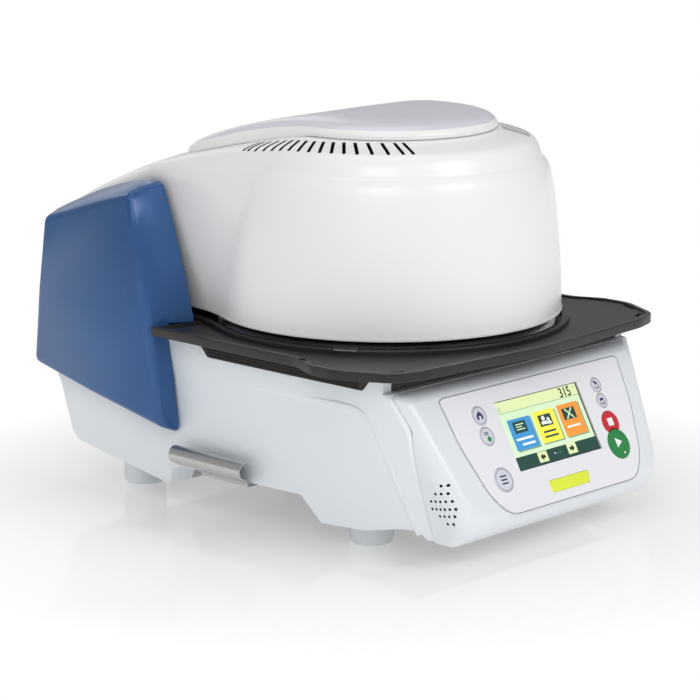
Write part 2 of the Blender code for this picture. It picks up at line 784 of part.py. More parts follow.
def tooth_ring(teeth, first, last):
    """Points over the teeth from one tooth number to another, anticlockwise."""
    pitch_radius = tooth_module * teeth / 2
    step = 360 / teeth
    spots = []
    for i in range(first, last + 1):
        middle = i * step
        for radius, share in (
                (pitch_radius - dedendum_share * tooth_module, -tooth_root_share),
                (pitch_radius, -tooth_pitch_share),
                (pitch_radius + addendum_share * tooth_module, -tooth_tip_share),
                (pitch_radius + addendum_share * tooth_module, tooth_tip_share),
                (pitch_radius, tooth_pitch_share),
                (pitch_radius - dedendum_share * tooth_module, tooth_root_share)):
            turn = math.radians(middle + share * step / 2)
            spots.append((radius * math.cos(turn), radius * math.sin(turn)))
    return spots


sector_radius = tooth_module * sector_teeth / 2
pinion_radius = tooth_module * pinion_teeth / 2
drive_distance = sector_radius + pinion_radius
pinion_y = hinge_y + drive_distance * math.cos(math.radians(mesh_angle))
pinion_z = hinge_z + drive_distance * math.sin(math.radians(mesh_angle))

# A tooth of the sector points at the pinion, and a gap of the pinion faces it
sector_step = 360 / sector_teeth
before = round(sector_margin / sector_step)
after = round((tilt_limit + sector_margin) / sector_step)
sector_hub = 0.010
teeth_line = tooth_ring(sector_teeth, -before, after)
hub_line = arc((0, 0), sector_hub, after * sector_step + 60, 300 - before * sector_step, 8)
turn_to_mesh = math.radians(mesh_angle)


def turned_points(points, angle, centre):
    c, s = math.cos(angle), math.sin(angle)
    return [(centre[0] + a * c - b * s, centre[1] + a * s + b * c) for a, b in points]


sector_outline = turned_points(teeth_line + hub_line, turn_to_mesh, (hinge_y, hinge_z))
drive_sector = prism("drive_sector", sector_outline, "X", drive_x, drive_x + sector_width, plated)
sector_bore = rod("sector_bore", shaft_radius + fit_gap, (drive_x - overrun, hinge_y, hinge_z),
                  (drive_x + sector_width + overrun, hinge_y, hinge_z), sides=24)
cut(drive_sector, sector_bore)
tilt_with_head(drive_sector)

motor_shaft_radius = 0.003
motor_radius = pinion_z - deck_height - fit_gap
motor_x = drive_x + sector_width + 0.5 * motor_shaft_radius
motor_length = 0.046
gearbox_length = 0.014
pinion_axis = bpy.data.objects.new("pinion_axis", None)
pieces.objects.link(pinion_axis)
pinion_axis.location = (0, pinion_y, pinion_z)
half_tooth = math.pi / pinion_teeth
pinion_outline = turned_points(tooth_ring(pinion_teeth, 0, pinion_teeth - 1),
                               turn_to_mesh + math.pi + half_tooth, (pinion_y, pinion_z))
drive_pinion = prism("drive_pinion", pinion_outline, "X", drive_x - (pinion_width - sector_width) / 2,
                     drive_x + sector_width + (pinion_width - sector_width) / 2, brass)
cut(drive_pinion, rod("pinion_bore", motor_shaft_radius + fit_gap, (0, pinion_y, pinion_z),
                      (drive_x * 2, pinion_y, pinion_z), sides=small_sides))
drive_pinion.parent = pinion_axis
drive_pinion.matrix_parent_inverse = Matrix.Translation((0, -pinion_y, -pinion_z))
gear_motor = rod("gear_motor", motor_radius, (motor_x, pinion_y, pinion_z),
                 (motor_x + gearbox_length, pinion_y, pinion_z), plated, 24)
fuse(gear_motor,
     rod("motor_body", motor_radius * 0.86, (motor_x + gearbox_length / 2, pinion_y, pinion_z),
         (motor_x + motor_length, pinion_y, pinion_z), sides=24),
     rod("motor_shaft", motor_shaft_radius, (drive_x - pinion_width / 2, pinion_y, pinion_z),
         (motor_x + gearbox_length / 2, pinion_y, pinion_z), sides=small_sides))

# Cooling plate: the black shelf round the head, with front lobes, a rim and a raised ring
plate_low = deck_height + fit_gap
plate_thickness = 0.0072
plate_top = plate_low + plate_thickness
plate_field_drop = 0.0012
plate_rim = 0.004
plate_hole_margin = 0.020
plate_hole_radius = hood_radius - plate_hole_margin
ring_top = 0.155
ring_gap = 0.0008
ring_width = 0.0058
plate_seam_gap = 0.002
plate_rear_y = seam_y - plate_seam_gap
# Corners of half the plate, as shares of the lobes' half width and of half the depth
lobe_half_width = 0.171
plate_outline_shares = [
    (0.722, 0.546), (0.722, 0.298), (0.936, 0.352), (0.936, -0.385), (1.000, -0.490), (1.000, -0.610),
    (0.880, -0.795), (0.735, -0.830), (0.000, -0.880)]
plate_radii = [0.001, 0.001, 0.001, 0.040, 0.022, 0.040, 0.024, 0.060]
half_plate = [(x_share * lobe_half_width, y_share * half_depth) for x_share, y_share in plate_outline_shares]
plate_nose_radius = 0.150
full_plate = half_plate + [(-x, y) for x, y in reversed(half_plate[:-1])]
corner_radii = plate_radii + [plate_nose_radius] + plate_radii[::-1]
plate_outline = rounded(full_plate, corner_radii, 4)
field_outline = rounded(inset(full_plate, -plate_rim), [max(r - plate_rim, 0) for r in corner_radii], 4)
cooling_plate = prism("cooling_plate", plate_outline, "Z", plate_low, plate_top, black)
field = prism("plate_field", field_outline, "Z", plate_top - plate_field_drop, plate_top + overrun)
cut(cooling_plate, field)
ring_outer = both_sides(head_plan(hood_radius + ring_gap + ring_width, hood_shares[0][2] * hood_radius + ring_width,
                                  plate_rear_y - plate_rim, 1, hood_front_steps, hood_side_steps))
ring_inner = both_sides(head_plan(hood_radius + ring_gap, hood_shares[0][2] * hood_radius,
                                  plate_rear_y + plate_rim, 1, hood_front_steps, hood_side_steps))
plate_ring = prism("plate_ring", ring_outer, "Z", plate_top - 2 * plate_field_drop, ring_top)
fuse(cooling_plate, plate_ring)
cut(cooling_plate, prism("plate_inside", ring_inner, "Z", plate_top - plate_field_drop, plate_top + overrun))
cut(cooling_plate, rod("plate_hole", plate_hole_radius, (0, head_centre_y, plate_low - overrun),
                       (0, head_centre_y, plate_top + overrun), sides=40))

notch_half_width = 0.0095
notch_angle = 60.0
for side in (-1, 1):
    notch = box("ring_notch", (-notch_half_width, -hood_radius - 2 * ring_width, plate_top - plate_field_drop),
                (notch_half_width, -hood_radius + ring_width, plate_top + overrun))
    notch.rotation_euler.z = side * math.radians(notch_angle)
    notch.location.y = head_centre_y
    cut(cooling_plate, notch)

lobe_slot_width = 0.003
lobe_slot_shares = [((0.936, -0.398), (0.962, -0.500)), ((0.953, -0.611), (0.912, -0.685)),
                    ((0.854, -0.750), (0.784, -0.773))]
for side in (-1, 1):
    for start, stop in lobe_slot_shares:
        start = Vector((start[0] * lobe_half_width, start[1] * half_depth))
        stop = Vector((stop[0] * lobe_half_width, stop[1] * half_depth))
        way = stop - start
        across = Vector((-way.y, way.x)).normalized() * lobe_slot_width / 2
        corners = [start + across, start - across, stop - across, stop + across]
        corners = [(side * p.x, p.y) for p in corners]
        cut(cooling_plate, prism("lobe_slot", corners, "Z", plate_low - overrun, plate_top + overrun))

# Chamber floor: insulation in the casing, the sealing plate on it and the firing table in the middle
base_insulation_low = 0.100
flange_margin = 0.004
base_insulation_flange = plate_hole_radius - flange_margin
seat_top = plate_top - 2 * plate_field_drop
base_insulation = turned("base_insulation", [
    (0, seat_top), (base_insulation_flange, seat_top), (base_insulation_flange, deck_height + fit_gap),
    (insulation_radius - fit_gap, deck_height + fit_gap), (insulation_radius - fit_gap, base_insulation_low),
    (0, base_insulation_low)], head_centre, fibre)
table_radius = 0.040
table_top = 0.161
sealing_margin = 0.002
sealing_plate_radius = hood_radius - sealing_margin
sealing_low = plate_top - plate_field_drop + fit_gap
sealing_plate = turned("sealing_plate", [
    (table_radius + 2 * fit_gap, sealing_low), (table_radius + 2 * fit_gap, sealing_plate_top),
    (sealing_plate_radius - plate_rim, sealing_plate_top), (sealing_plate_radius, sealing_low)][::-1],
    head_centre, plated, 40)
table_edge = 0.0015
firing_table = turned("firing_table", [
    (0, table_top), (table_radius - table_edge, table_top), (table_radius, table_top - table_edge),
    (table_radius, seat_top + fit_gap), (0, seat_top + fit_gap)], head_centre, firebrick)

# Blue side covers: faceted shells over the rear of the casing
cover_wall = 0.0025
cover_width = 0.0335
cover_inner_x = side_cover_half_width - cover_width
cover_edge_radius = 0.004
cover_outer_shares = [(0.475, 1.160), (0.924, 1.020), (0.997, 0.489), (0.315, 0.353), (0.362, 0.703)]
cover_inner_shares = [(0.466, 1.186), (0.991, 1.044), (0.998, 0.470), (0.295, 0.330), (0.306, 0.722)]
cover_height = 0.2165


def cover_block(name, side, shrink, look=None):
    """A faceted block between an outer and an inner outline, drawn in on all sides by one amount."""
    outer = [(y_share * half_depth, z_share * cover_height) for y_share, z_share in cover_outer_shares][::-1]
    inner = [(y_share * half_depth, z_share * cover_height) for y_share, z_share in cover_inner_shares][::-1]
    bm = bmesh.new()
    rings = []
    for outline, x in ((outer, side_cover_half_width - shrink), (inner, cover_inner_x + shrink)):
        drawn = inset(outline, shrink)
        rings.append([bm.verts.new((side * x, y, z)) for y, z in drawn])
    for i in range(len(outer)):
        j = (i + 1) % len(outer)
        bm.faces.new((rings[0][i], rings[0][j], rings[1][j]))
        bm.faces.new((rings[0][i], rings[1][j], rings[1][i]))
    bm.faces.new(rings[0])
    bm.faces.new(rings[1][::-1])
    return from_bmesh(name, bm, look)


cover_clearance = casing_block("cover_clearance", [
    (-half_depth, 0), (half_depth + overrun, 0), (half_depth + overrun, plate_top + fit_gap),
    (-half_depth, plate_top + fit_gap)], 2 * fit_gap)
for hand, side in (("left", -1), ("right", 1)):
    cover = cover_block(f"side_cover_{hand}", side, 0, blue)
    soften(cover, cover_edge_radius)
    cut(cover, cover_clearance, cover_block("cover_cavity", side, cover_wall))

# Rear cover: the white back of the furnace behind the seam, a moulded shell
rear_cover_wall = 0.0025
# Each row: place from the seam to the rear, centre height, half width, corner height, lower edge
rear_cover_shares = [
    (0.0325, 1.000, 0.903, 0.952, 0.755), (0.2800, 0.951, 0.925, 0.905, 0.755),
    (0.5208, 0.909, 0.968, 0.876, 0.755), (0.7300, 0.874, 0.980, 0.846, 0.755),
    (0.8852, 0.850, 0.980, 0.822, 0.755), (0.9797, 0.832, 0.972, 0.804, 0.755)]
rear_cover_top = 0.2892
rear_corner_shares = [(0.0, 0.0), (0.45, 0.08), (0.75, 0.42), (0.88, 0.78), (0.95, 1.15), (0.99, 1.70), (1.0, 2.4)]
rear_rows = []
for y_share, centre_share, half_share, corner_share, low_share in rear_cover_shares:
    y = seam_y + y_share * seam_setback
    half_x = half_share * cover_inner_x
    centre_z = centre_share * rear_cover_top
    drop = centre_z - corner_share * rear_cover_top
    row = [(x_share * half_x, y, centre_z - z_share * drop) for x_share, z_share in rear_corner_shares]
    row.append((half_x, y, low_share * rear_cover_top))
    rear_rows.append(row)
rear_skirt_low = rear_cover_shares[-1][4] * rear_cover_top
rear_rows.append([(x, y, rear_skirt_low) for x, y, z in rear_rows[-1]])
rear_cover = surface_between("rear_cover", rear_rows, white)
thicken(rear_cover, rear_cover_wall)

# Rear panel: a zinc-plated sheet with the sockets, the switch and the fan opening
panel_setback = 0.0062
panel_y = half_depth - panel_setback
panel_low = 0.1010
panel_high = 0.2285
panel_side_gap = 0.0025
panel_top_gap = 0.007
panel_half_width = cover_inner_x - panel_side_gap
panel_top_half_width = cover_inner_x - panel_top_gap
panel_chamfer = 0.010
half_panel = [(panel_half_width, panel_low), (panel_half_width, rear_skirt_low - sheet),
              (panel_top_half_width, rear_skirt_low - sheet), (panel_top_half_width, rear_skirt_low + sheet),
              (panel_top_half_width - panel_chamfer, panel_high)]
rear_panel = prism("rear_panel", both_sides(half_panel), "Y", panel_y, panel_y + sheet, plated)

fan_gap = 0.049
fan_x = fan_gap - bracket_x
fan_z = 0.1765
fan_half = 0.030
fan_depth = 0.015
fan_bore = 0.0275
fan_bars = 7
fan_bar_pitch = 0.0075
fan_slot_width = 0.0045
fan_back_y = panel_y - fit_gap
for i in range(fan_bars):
    x = (i - (fan_bars - 1) / 2) * fan_bar_pitch
    reach = math.sqrt(fan_bore ** 2 - x ** 2) * 0.96
    cut(rear_panel, box("fan_slot", (fan_x + x - fan_slot_width / 2, panel_y - overrun, fan_z - reach),
                        (fan_x + x + fan_slot_width / 2, panel_y + overrun, fan_z + reach)))
fan_frame = box("fan_frame", (fan_x - fan_half, fan_back_y - fan_depth, fan_z - fan_half),
                (fan_x + fan_half, fan_back_y, fan_z + fan_half), dark_plastic)
strut_thickness = 0.002
strut_width = 0.004
pin_radius = 0.0015
hub_radius = 0.010
blade_count = 7
blade_tip = 0.0262
cut(fan_frame, rod("fan_hole", fan_bore, (fan_x, fan_back_y - fan_depth - overrun, fan_z),
                   (fan_x, fan_back_y + overrun, fan_z)))
strut_y = fan_back_y - fan_depth
struts = box("fan_struts", (fan_x - fan_half + strut_thickness / 2, strut_y, fan_z - strut_width / 2),
             (fan_x + fan_half - strut_thickness / 2, strut_y + strut_thickness, fan_z + strut_width / 2))
fan_pin = rod("fan_pin", pin_radius, (fan_x, strut_y + strut_thickness / 2, fan_z),
              (fan_x, strut_y + fan_depth * 0.7, fan_z), sides=small_sides)
fan_seat = rod("fan_seat", hub_radius * 0.8, (fan_x, strut_y, fan_z),
               (fan_x, strut_y + strut_thickness, fan_z), sides=small_sides)
fuse(fan_frame, struts, fan_seat, fan_pin)

rotor_front = strut_y + strut_thickness + fit_gap
rotor_back = fan_back_y - 4 * fit_gap
fan_axis = bpy.data.objects.new("fan_axis", None)
pieces.objects.link(fan_axis)
fan_axis.location = (fan_x, 0, fan_z)
fan_rotor = rod("fan_rotor", hub_radius, (0, rotor_front, 0), (0, rotor_back, 0), dark_plastic, 24)
blade_thickness = 0.0015
blade_chord = 0.011
blade_lean = 40.0
rotor_middle = (rotor_front + rotor_back) / 2
for i in range(blade_count):
    blade = box("fan_blade", (hub_radius * 0.8, -blade_chord / 2, -blade_thickness / 2),
                (blade_tip, blade_chord / 2, blade_thickness / 2))
    lean = Matrix.Rotation(math.radians(blade_lean), 4, "X")
    blade.data.transform(Matrix.Translation((0, rotor_middle, 0)) @ lean)
    blade.rotation_euler.y = 2 * math.pi * i / blade_count
    blade.parent = fan_axis
    fuse(fan_rotor, blade)
rotor_bore = rod("rotor_bore", pin_radius + fit_gap, (0, rotor_front - overrun, 0),
                 (0, strut_y + fan_depth * 0.7 + fit_gap, 0), sides=small_sides)
rotor_bore.parent = fan_axis
cut(fan_rotor, rotor_bore)
fan_rotor.parent = fan_axis

# Mains inlet, vacuum pump socket, rocker switch, fuse holders and service port in the rear panel
socket_side_gap = 0.022
socket_pitch = 0.038
pump_socket_x = panel_half_width - socket_side_gap
inlet_x = pump_socket_x - socket_pitch
inlet_z = 0.128
inlet_half_width = 0.0135
inlet_half_height = 0.010
inlet_depth = 0.018
inlet_flange = 0.0035
inlet_wall = 0.002
inlet_pin = 0.0020
pin_spread = 0.007
pin_offset = 0.0025
socket_face_y = panel_y + sheet + fit_gap
flange_out = 0.0022


def panel_socket(name, x, z, half_width, half_height, depth, pins):
    """An appliance socket: a flanged body through the panel, with a recess and its pins."""
    cut(rear_panel, box("socket_hole", (x - half_width - fit_gap, panel_y - overrun, z - half_height - fit_gap),
                        (x + half_width + fit_gap, panel_y + overrun, z + half_height + fit_gap)))
    body = box(name, (x - half_width, panel_y - depth, z - half_height),
               (x + half_width, socket_face_y + flange_out / 2, z + half_height), dark_plastic)
    rim = box("socket_rim", (x - half_width - inlet_flange, socket_face_y, z - half_height - inlet_flange),
              (x + half_width + inlet_flange, socket_face_y + flange_out, z + half_height + inlet_flange))
    recess = box("socket_recess", (x - half_width + inlet_wall, panel_y - depth + inlet_wall,
                                   z - half_height + inlet_wall),
                 (x + half_width - inlet_wall, panel_y + overrun, z + half_height - inlet_wall))
    fuse(body, rim)
    cut(body, recess)
    for pin_x, pin_z in pins:
        fuse(body, box("socket_pin", (x + pin_x - inlet_pin / 2, panel_y - depth + inlet_wall / 2, z + pin_z - inlet_pin),
                       (x + pin_x + inlet_pin / 2, panel_y, z + pin_z + inlet_pin)))
    return body


mains_inlet = panel_socket("mains_inlet", inlet_x, inlet_z, inlet_half_width, inlet_half_height, inlet_depth,
                           [(-pin_spread, -pin_offset), (pin_spread, -pin_offset), (0, pin_offset)])
pump_socket = panel_socket("pump_socket", pump_socket_x, inlet_z, inlet_half_width, inlet_half_height, inlet_depth,
                           [(-pin_spread, pin_offset), (pin_spread, pin_offset), (0, -pin_offset)])

switch_x = inlet_x - socket_pitch
switch_z = inlet_z
switch_half_width = 0.0065
switch_half_height = 0.0105
switch_depth = 0.014
switch_rim = 0.002
bezel_out = 0.002
cut(rear_panel, box("switch_hole", (switch_x - switch_half_width - switch_rim - fit_gap, panel_y - overrun,
                                    switch_z - switch_half_height - switch_rim - fit_gap),
                    (switch_x + switch_half_width + switch_rim + fit_gap, panel_y + overrun,
                     switch_z + switch_half_height + switch_rim + fit_gap)))
switch_housing = box("switch_housing", (switch_x - switch_half_width - switch_rim, panel_y - switch_depth,
                                        switch_z - switch_half_height - switch_rim),
                     (switch_x + switch_half_width + switch_rim, socket_face_y + bezel_out / 2,
                      switch_z + switch_half_height + switch_rim), dark_plastic)
fuse(switch_housing, box("switch_flange", (switch_x - switch_half_width - 2 * switch_rim, socket_face_y,
                                           switch_z - switch_half_height - 2 * switch_rim),
                         (switch_x + switch_half_width + 2 * switch_rim, socket_face_y + bezel_out,
                          switch_z + switch_half_height + 2 * switch_rim)))
cut(switch_housing, box("switch_well", (switch_x - switch_half_width, panel_y - switch_depth + switch_rim,
                                        switch_z - switch_half_height),
                        (switch_x + switch_half_width, panel_y + overrun, switch_z + switch_half_height)))
rocker_gap = 2 * fit_gap
rocker_tilt = 9.0
rocker_pivot_y = panel_y - 0.3 * switch_depth
rocker_root = 0.0045
rocker_axis = bpy.data.objects.new("rocker_axis", None)
pieces.objects.link(rocker_axis)
rocker_axis.location = (0, rocker_pivot_y, switch_z)
rocker_reach = switch_half_height - 3 * rocker_gap
rocker_out = socket_face_y + bezel_out - rocker_pivot_y
rocker_outline = [(-rocker_root, -0.7 * rocker_root), (-rocker_root, 0.7 * rocker_root),
                  (0.35 * rocker_out, rocker_reach), (rocker_out + 0.5 * bezel_out, rocker_reach - rocker_gap),
                  (rocker_out - 0.3 * bezel_out, 0),
                  (rocker_out + 0.5 * bezel_out, -rocker_reach + rocker_gap), (0.35 * rocker_out, -rocker_reach)]
rest_tilt = math.radians(rocker_tilt)
rocker_outline = turned_points(rocker_outline, rest_tilt, (rocker_pivot_y, switch_z))
power_switch = prism("power_switch", rocker_outline, "X", switch_x - switch_half_width + rocker_gap,
                     switch_x + switch_half_width - rocker_gap, dark_plastic)
power_switch.parent = rocker_axis
power_switch.matrix_parent_inverse = Matrix.Translation((0, -rocker_pivot_y, -switch_z))

fuse_radius = 0.0065
fuse_rise = 0.030
fuse_pitch = 0.020
fuse_z = inlet_z + fuse_rise
fuse_places = [inlet_x - fuse_pitch, inlet_x]
fuse_depth = 0.020
fuse_cap_radius = 0.0085
fuse_cap = 0.003
fuse_slot = 0.0012
fuse_holders = rod("fuse_holders", fuse_radius, (fuse_places[0], panel_y - fuse_depth, fuse_z),
                   (fuse_places[0], socket_face_y + fuse_cap / 2, fuse_z), dark_plastic, small_sides)
second_fuse = rod("second_fuse", fuse_radius, (fuse_places[1], panel_y - fuse_depth, fuse_z),
                  (fuse_places[1], socket_face_y + fuse_cap / 2, fuse_z), sides=small_sides)
fuse(fuse_holders, second_fuse)
fuse_block = fuse_depth * 0.3
fuse(fuse_holders, box("fuse_block", (fuse_places[0], panel_y - fuse_depth, fuse_z - fuse_radius * 0.7),
                       (fuse_places[1], panel_y - fuse_depth + fuse_block, fuse_z + fuse_radius * 0.7)))
for x in fuse_places:
    fuse(fuse_holders, rod("fuse_cap", fuse_cap_radius, (x, socket_face_y, fuse_z),
                           (x, socket_face_y + fuse_cap, fuse_z), sides=small_sides))
    cut(rear_panel, rod("fuse_hole", fuse_radius + fit_gap, (x, panel_y - overrun, fuse_z),
                        (x, panel_y + overrun, fuse_z), sides=small_sides))
for x in fuse_places:
    cut(fuse_holders, box("fuse_slot", (x - fuse_cap_radius * 0.7, socket_face_y + fuse_cap - fuse_slot,
                                        fuse_z - fuse_slot / 2),
                          (x + fuse_cap_radius * 0.7, socket_face_y + fuse_cap + overrun, fuse_z + fuse_slot / 2)))

port_pitch = 0.034
port_x = switch_x - port_pitch
port_z = inlet_z
port_half_width = 0.0065
port_half_height = 0.0034
port_depth = 0.014
port_wall = 0.0006
cut(rear_panel, box("port_hole", (port_x - port_half_width - fit_gap, panel_y - overrun,
                                  port_z - port_half_height - fit_gap),
                    (port_x + port_half_width + fit_gap, panel_y + overrun, port_z + port_half_height + fit_gap)))
service_port = box("service_port", (port_x - port_half_width, panel_y - port_depth, port_z - port_half_height),
                   (port_x + port_half_width, panel_y + sheet, port_z + port_half_height), plated)
cut(service_port, box("port_recess", (port_x - port_half_width + port_wall, panel_y - port_depth + sheet,
                                      port_z - port_half_height + port_wall),
                      (port_x + port_half_width - port_wall, panel_y + overrun, port_z + port_half_height - port_wall)))

# Vacuum connection: a hose nipple on the panel with its valve behind
vacuum_gap = 0.045
vacuum_x = fan_x + vacuum_gap
vacuum_z = 0.206
nipple_radius = 0.004
nipple_bore = 0.002
valve_half = 0.012
valve_depth = 0.034
nipple_end_share = 1.0004
nipple_end = nipple_end_share * half_depth
vacuum_valve = box("vacuum_valve", (vacuum_x - valve_half, panel_y - fit_gap - valve_depth, vacuum_z - valve_half),
                   (vacuum_x + valve_half, panel_y - fit_gap, vacuum_z + valve_half), plated)
fuse(vacuum_valve, rod("nipple", nipple_radius, (vacuum_x, panel_y - valve_half, vacuum_z),
                       (vacuum_x, nipple_end, vacuum_z), sides=small_sides))
cut(vacuum_valve, rod("nipple_bore", nipple_bore, (vacuum_x, panel_y - valve_half * 2, vacuum_z),
                      (vacuum_x, half_depth + overrun, vacuum_z), sides=small_sides))
cut(rear_panel, rod("nipple_hole", nipple_radius + fit_gap, (vacuum_x, panel_y - overrun, vacuum_z),
                    (vacuum_x, panel_y + overrun, vacuum_z), sides=small_sides))

# Power board with its transformer, capacitors and relay, on spacers on the bottom plate
board_thickness = 0.0016
spacer_height = 0.006
board_low = underside[4][1] + sheet + fit_gap + spacer_height
board_side_gap = 0.037
board_half_width = casing_half_width - board_side_gap
board_half_length = 0.050
board_y = 0.005
board_front_y = board_y - board_half_length
board_rear_y = board_y + board_half_length
power_board = box("power_board", (-board_half_width, board_front_y, board_low),
                  (board_half_width, board_rear_y, board_low + board_thickness), board_green)
transformer_low = board_low + board_thickness / 2
transformer_height = 0.036
# Transformer, two capacitors, relay and terminal strip: place on the board, and height
board_part_shares = [((-0.857, -0.70), (-0.429, 0.20), 1.000), ((-0.286, -0.70), (-0.048, -0.34), 0.444),
                     ((0.095, -0.70), (0.248, -0.34), 0.556), ((0.476, -0.80), (0.762, 0.00), 0.667),
                     ((-0.286, 0.20), (0.571, 0.34), 0.333)]
for low_shares, high_shares, tall_share in board_part_shares:
    (low_x, low_y), (high_x, high_y) = [(x_share * board_half_width, board_y + y_share * board_half_length)
                                        for x_share, y_share in (low_shares, high_shares)]
    fuse(power_board, box("board_part", (low_x, low_y, transformer_low),
                          (high_x, high_y, board_low + tall_share * transformer_height)))
spacer_radius = 0.004
spacer_inset = 0.007
underside_y, underside_z = underside[3]
for x in (spacer_inset - board_half_width, board_half_width - spacer_inset):
    for y in (board_front_y + spacer_inset, board_rear_y - spacer_inset):
        share = (y - underside_y) / (underside[4][0] - underside_y)
        floor = underside_z + (underside[4][1] - underside_z) * share + sheet + fit_gap
        fuse(power_board, rod("board_spacer", spacer_radius, (x, y, floor),
                              (x, y, board_low + board_thickness / 2), sides=small_sides))

# Operating unit: the sloping front. Its flat pieces are drawn in the panel's own plane
# Foot and head of the sloping face, as shares of half the depth and of the deck's height
face_foot_shares = (-1.00329, 0.25007)
face_head_shares = (-0.70967, 1.03269)
face_foot = (face_foot_shares[0] * half_depth, face_foot_shares[1] * deck_height)
face_head = (face_head_shares[0] * half_depth, face_head_shares[1] * deck_height)
panel_centre_y = (face_foot[0] + face_head[0]) / 2
panel_centre_z = (face_foot[1] + face_head[1]) / 2
panel_slope = math.degrees(math.atan2(face_head[0] - face_foot[0], face_head[1] - face_foot[1]))
panel_frame = bpy.data.objects.new("panel_frame", None)
pieces.objects.link(panel_frame)
panel_frame.location = (0, panel_centre_y, panel_centre_z)
panel_frame.rotation_euler.x = math.radians(90 - panel_slope)


def on_panel(*group):
    for made in group:
        made.parent = panel_frame
    return group[0]


unit_inset = 0.005
unit_half_width = casing_half_width - unit_inset
unit_tip_shares = (-0.99537, 0.2)
unit_top_shares = (-0.75556, 0.90345)
unit_tip = (unit_tip_shares[0] * half_depth, unit_tip_shares[1] * deck_height)
unit_top_front = (unit_top_shares[0] * half_depth, unit_top_shares[1] * deck_height)
seam_line = [(y - fit_gap, z) for y, z in casing_outline[2:7]]
seam_low = (seam_line[-1][0] - fit_gap, unit_tip[1])
wedge_outline = [seam_line[0], unit_top_front, unit_tip, seam_low] + seam_line[::-1][:-1]
control_housing = prism("control_housing", wedge_outline, "X", -unit_half_width, unit_half_width, white)
unit_edge = 0.0012
soften(control_housing, unit_edge, 2, 50)

pad_outline_shares = [
    (0.925, 0.683), (0.978, 0.620), (0.993, 0.440), (0.985, 0.220), (0.930, -0.250), (0.893, -0.500),
    (0.843, -0.706), (0.762, -0.860), (0.650, -0.945), (0.500, -0.975)]
pad_half_height = 0.068
half_pad = [(u_share * unit_half_width, v_share * pad_half_height) for u_share, v_share in pad_outline_shares]
pad_outline = [(-u, v) for u, v in half_pad] + half_pad[::-1]
pad_depth = 0.010
pad_edge = 0.0035
pad_skin = 0.0026
pad = prism("pad", pad_outline, "Z", -pad_depth, 0)
soften(pad, pad_edge, 3, 50)
behind_unit = casing_block("behind_unit", [(0, deck_height)] + [
    (y - fit_gap, z) for y, z in casing_outline[1:7]] + [(0, 0)], overrun)
cut(pad, behind_unit)
fuse(control_housing, on_panel(pad))
pad_pocket = prism("pad_pocket", inset(pad_outline, pad_skin * 2), "Z", -pad_depth * 6, -pad_skin)
cut(control_housing, on_panel(pad_pocket))

cheek_slope = math.degrees(math.atan2(unit_top_front[0] - unit_tip[0], unit_top_front[1] - unit_tip[1]))
cheek_frame = bpy.data.objects.new("cheek_frame", None)
pieces.objects.link(cheek_frame)
cheek_frame.location = (0, *unit_tip)
cheek_frame.rotation_euler.x = math.radians(90 - cheek_slope)
pocket_half_shares = [(0.970, 0.055), (0.970, 0.480), (0.880, 0.480), (0.620, 0.055)]
cheek_length = math.hypot(unit_top_front[0] - unit_tip[0], unit_top_front[1] - unit_tip[1])
for side in (-1, 1):
    outline = [(side * u_share * unit_half_width, v_share * cheek_length) for u_share, v_share in pocket_half_shares]
    pocket = prism("cheek_pocket", outline, "Z", -4 * pad_depth, -pad_skin)
    pocket.parent = cheek_frame
    cut(control_housing, pocket)

speaker_hole_radius = 0.0011
# Each row: first and last hole as shares of the unit's half width and of the cheek's length, and its holes
speaker_rows = [
    (-0.935, 0.405, -0.905, 0.396, 2), (-0.970, 0.358, -0.891, 0.337, 3), (-0.985, 0.318, -0.859, 0.271, 5),
    (-0.990, 0.270, -0.826, 0.207, 6), (-0.985, 0.212, -0.873, 0.172, 4), (-0.959, 0.150, -0.920, 0.136, 2)]
speaker_x_share = -0.894
speaker_v_share = 0.262
speaker_x = speaker_x_share * unit_half_width
speaker_v = speaker_v_share * cheek_length
for start_x, start_v, stop_x, stop_v, holes in speaker_rows:
    for i in range(holes):
        share = i / (holes - 1)
        x = (start_x + (stop_x - start_x) * share) * unit_half_width
        v = (start_v + (stop_v - start_v) * share) * cheek_length
        hole = rod("speaker_hole", speaker_hole_radius, (x, v, -pad_depth), (x, v, pad_depth), sides=6)
        hole.parent = cheek_frame
        cut(control_housing, hole)
speaker_radius = 0.0085
speaker_depth = 0.005
speaker = turned("speaker", [
    (0, -pad_skin - fit_gap - speaker_depth * 0.3), (speaker_radius * 0.8, -pad_skin - fit_gap),
    (speaker_radius, -pad_skin - fit_gap), (speaker_radius, -pad_skin - fit_gap - 0.3 * speaker_depth),
    (speaker_radius * 0.5, -pad_skin - fit_gap - speaker_depth), (0, -pad_skin - fit_gap - speaker_depth)],
    (speaker_x, speaker_v, 0), dark_plastic, 20)
speaker.parent = cheek_frame

# Keypad overlay: a foil in a shallow recess of the pad, cut out for the display, keys and status bar
face_centre_u = 0.0045
overlay_sink = 0.0005
overlay_thickness = 0.0006
overlay_margin = 0.0343
overlay_half_width = unit_half_width - overlay_margin
overlay_top = 0.0360
overlay_shares = [(0.980, 1.000), (1.000, 0.870), (0.958, 0.050), (0.912, -0.830), (0.850, -1.244),
                  (0.703, -1.600), (0.471, -1.710)]
half_overlay = [(u_share * overlay_half_width, v_share * overlay_top) for u_share, v_share in overlay_shares]
overlay_outline = [(face_centre_u - u, v) for u, v in half_overlay] + [
    (face_centre_u + u, v) for u, v in half_overlay[::-1]]
recess = prism("overlay_recess", inset(overlay_outline, -fit_gap), "Z", -overlay_sink, pad_depth)
cut(control_housing, on_panel(recess))
keypad_overlay = prism("keypad_overlay", overlay_outline, "Z", fit_gap - overlay_sink,
                       fit_gap - overlay_sink + overlay_thickness, foil)
on_panel(keypad_overlay)

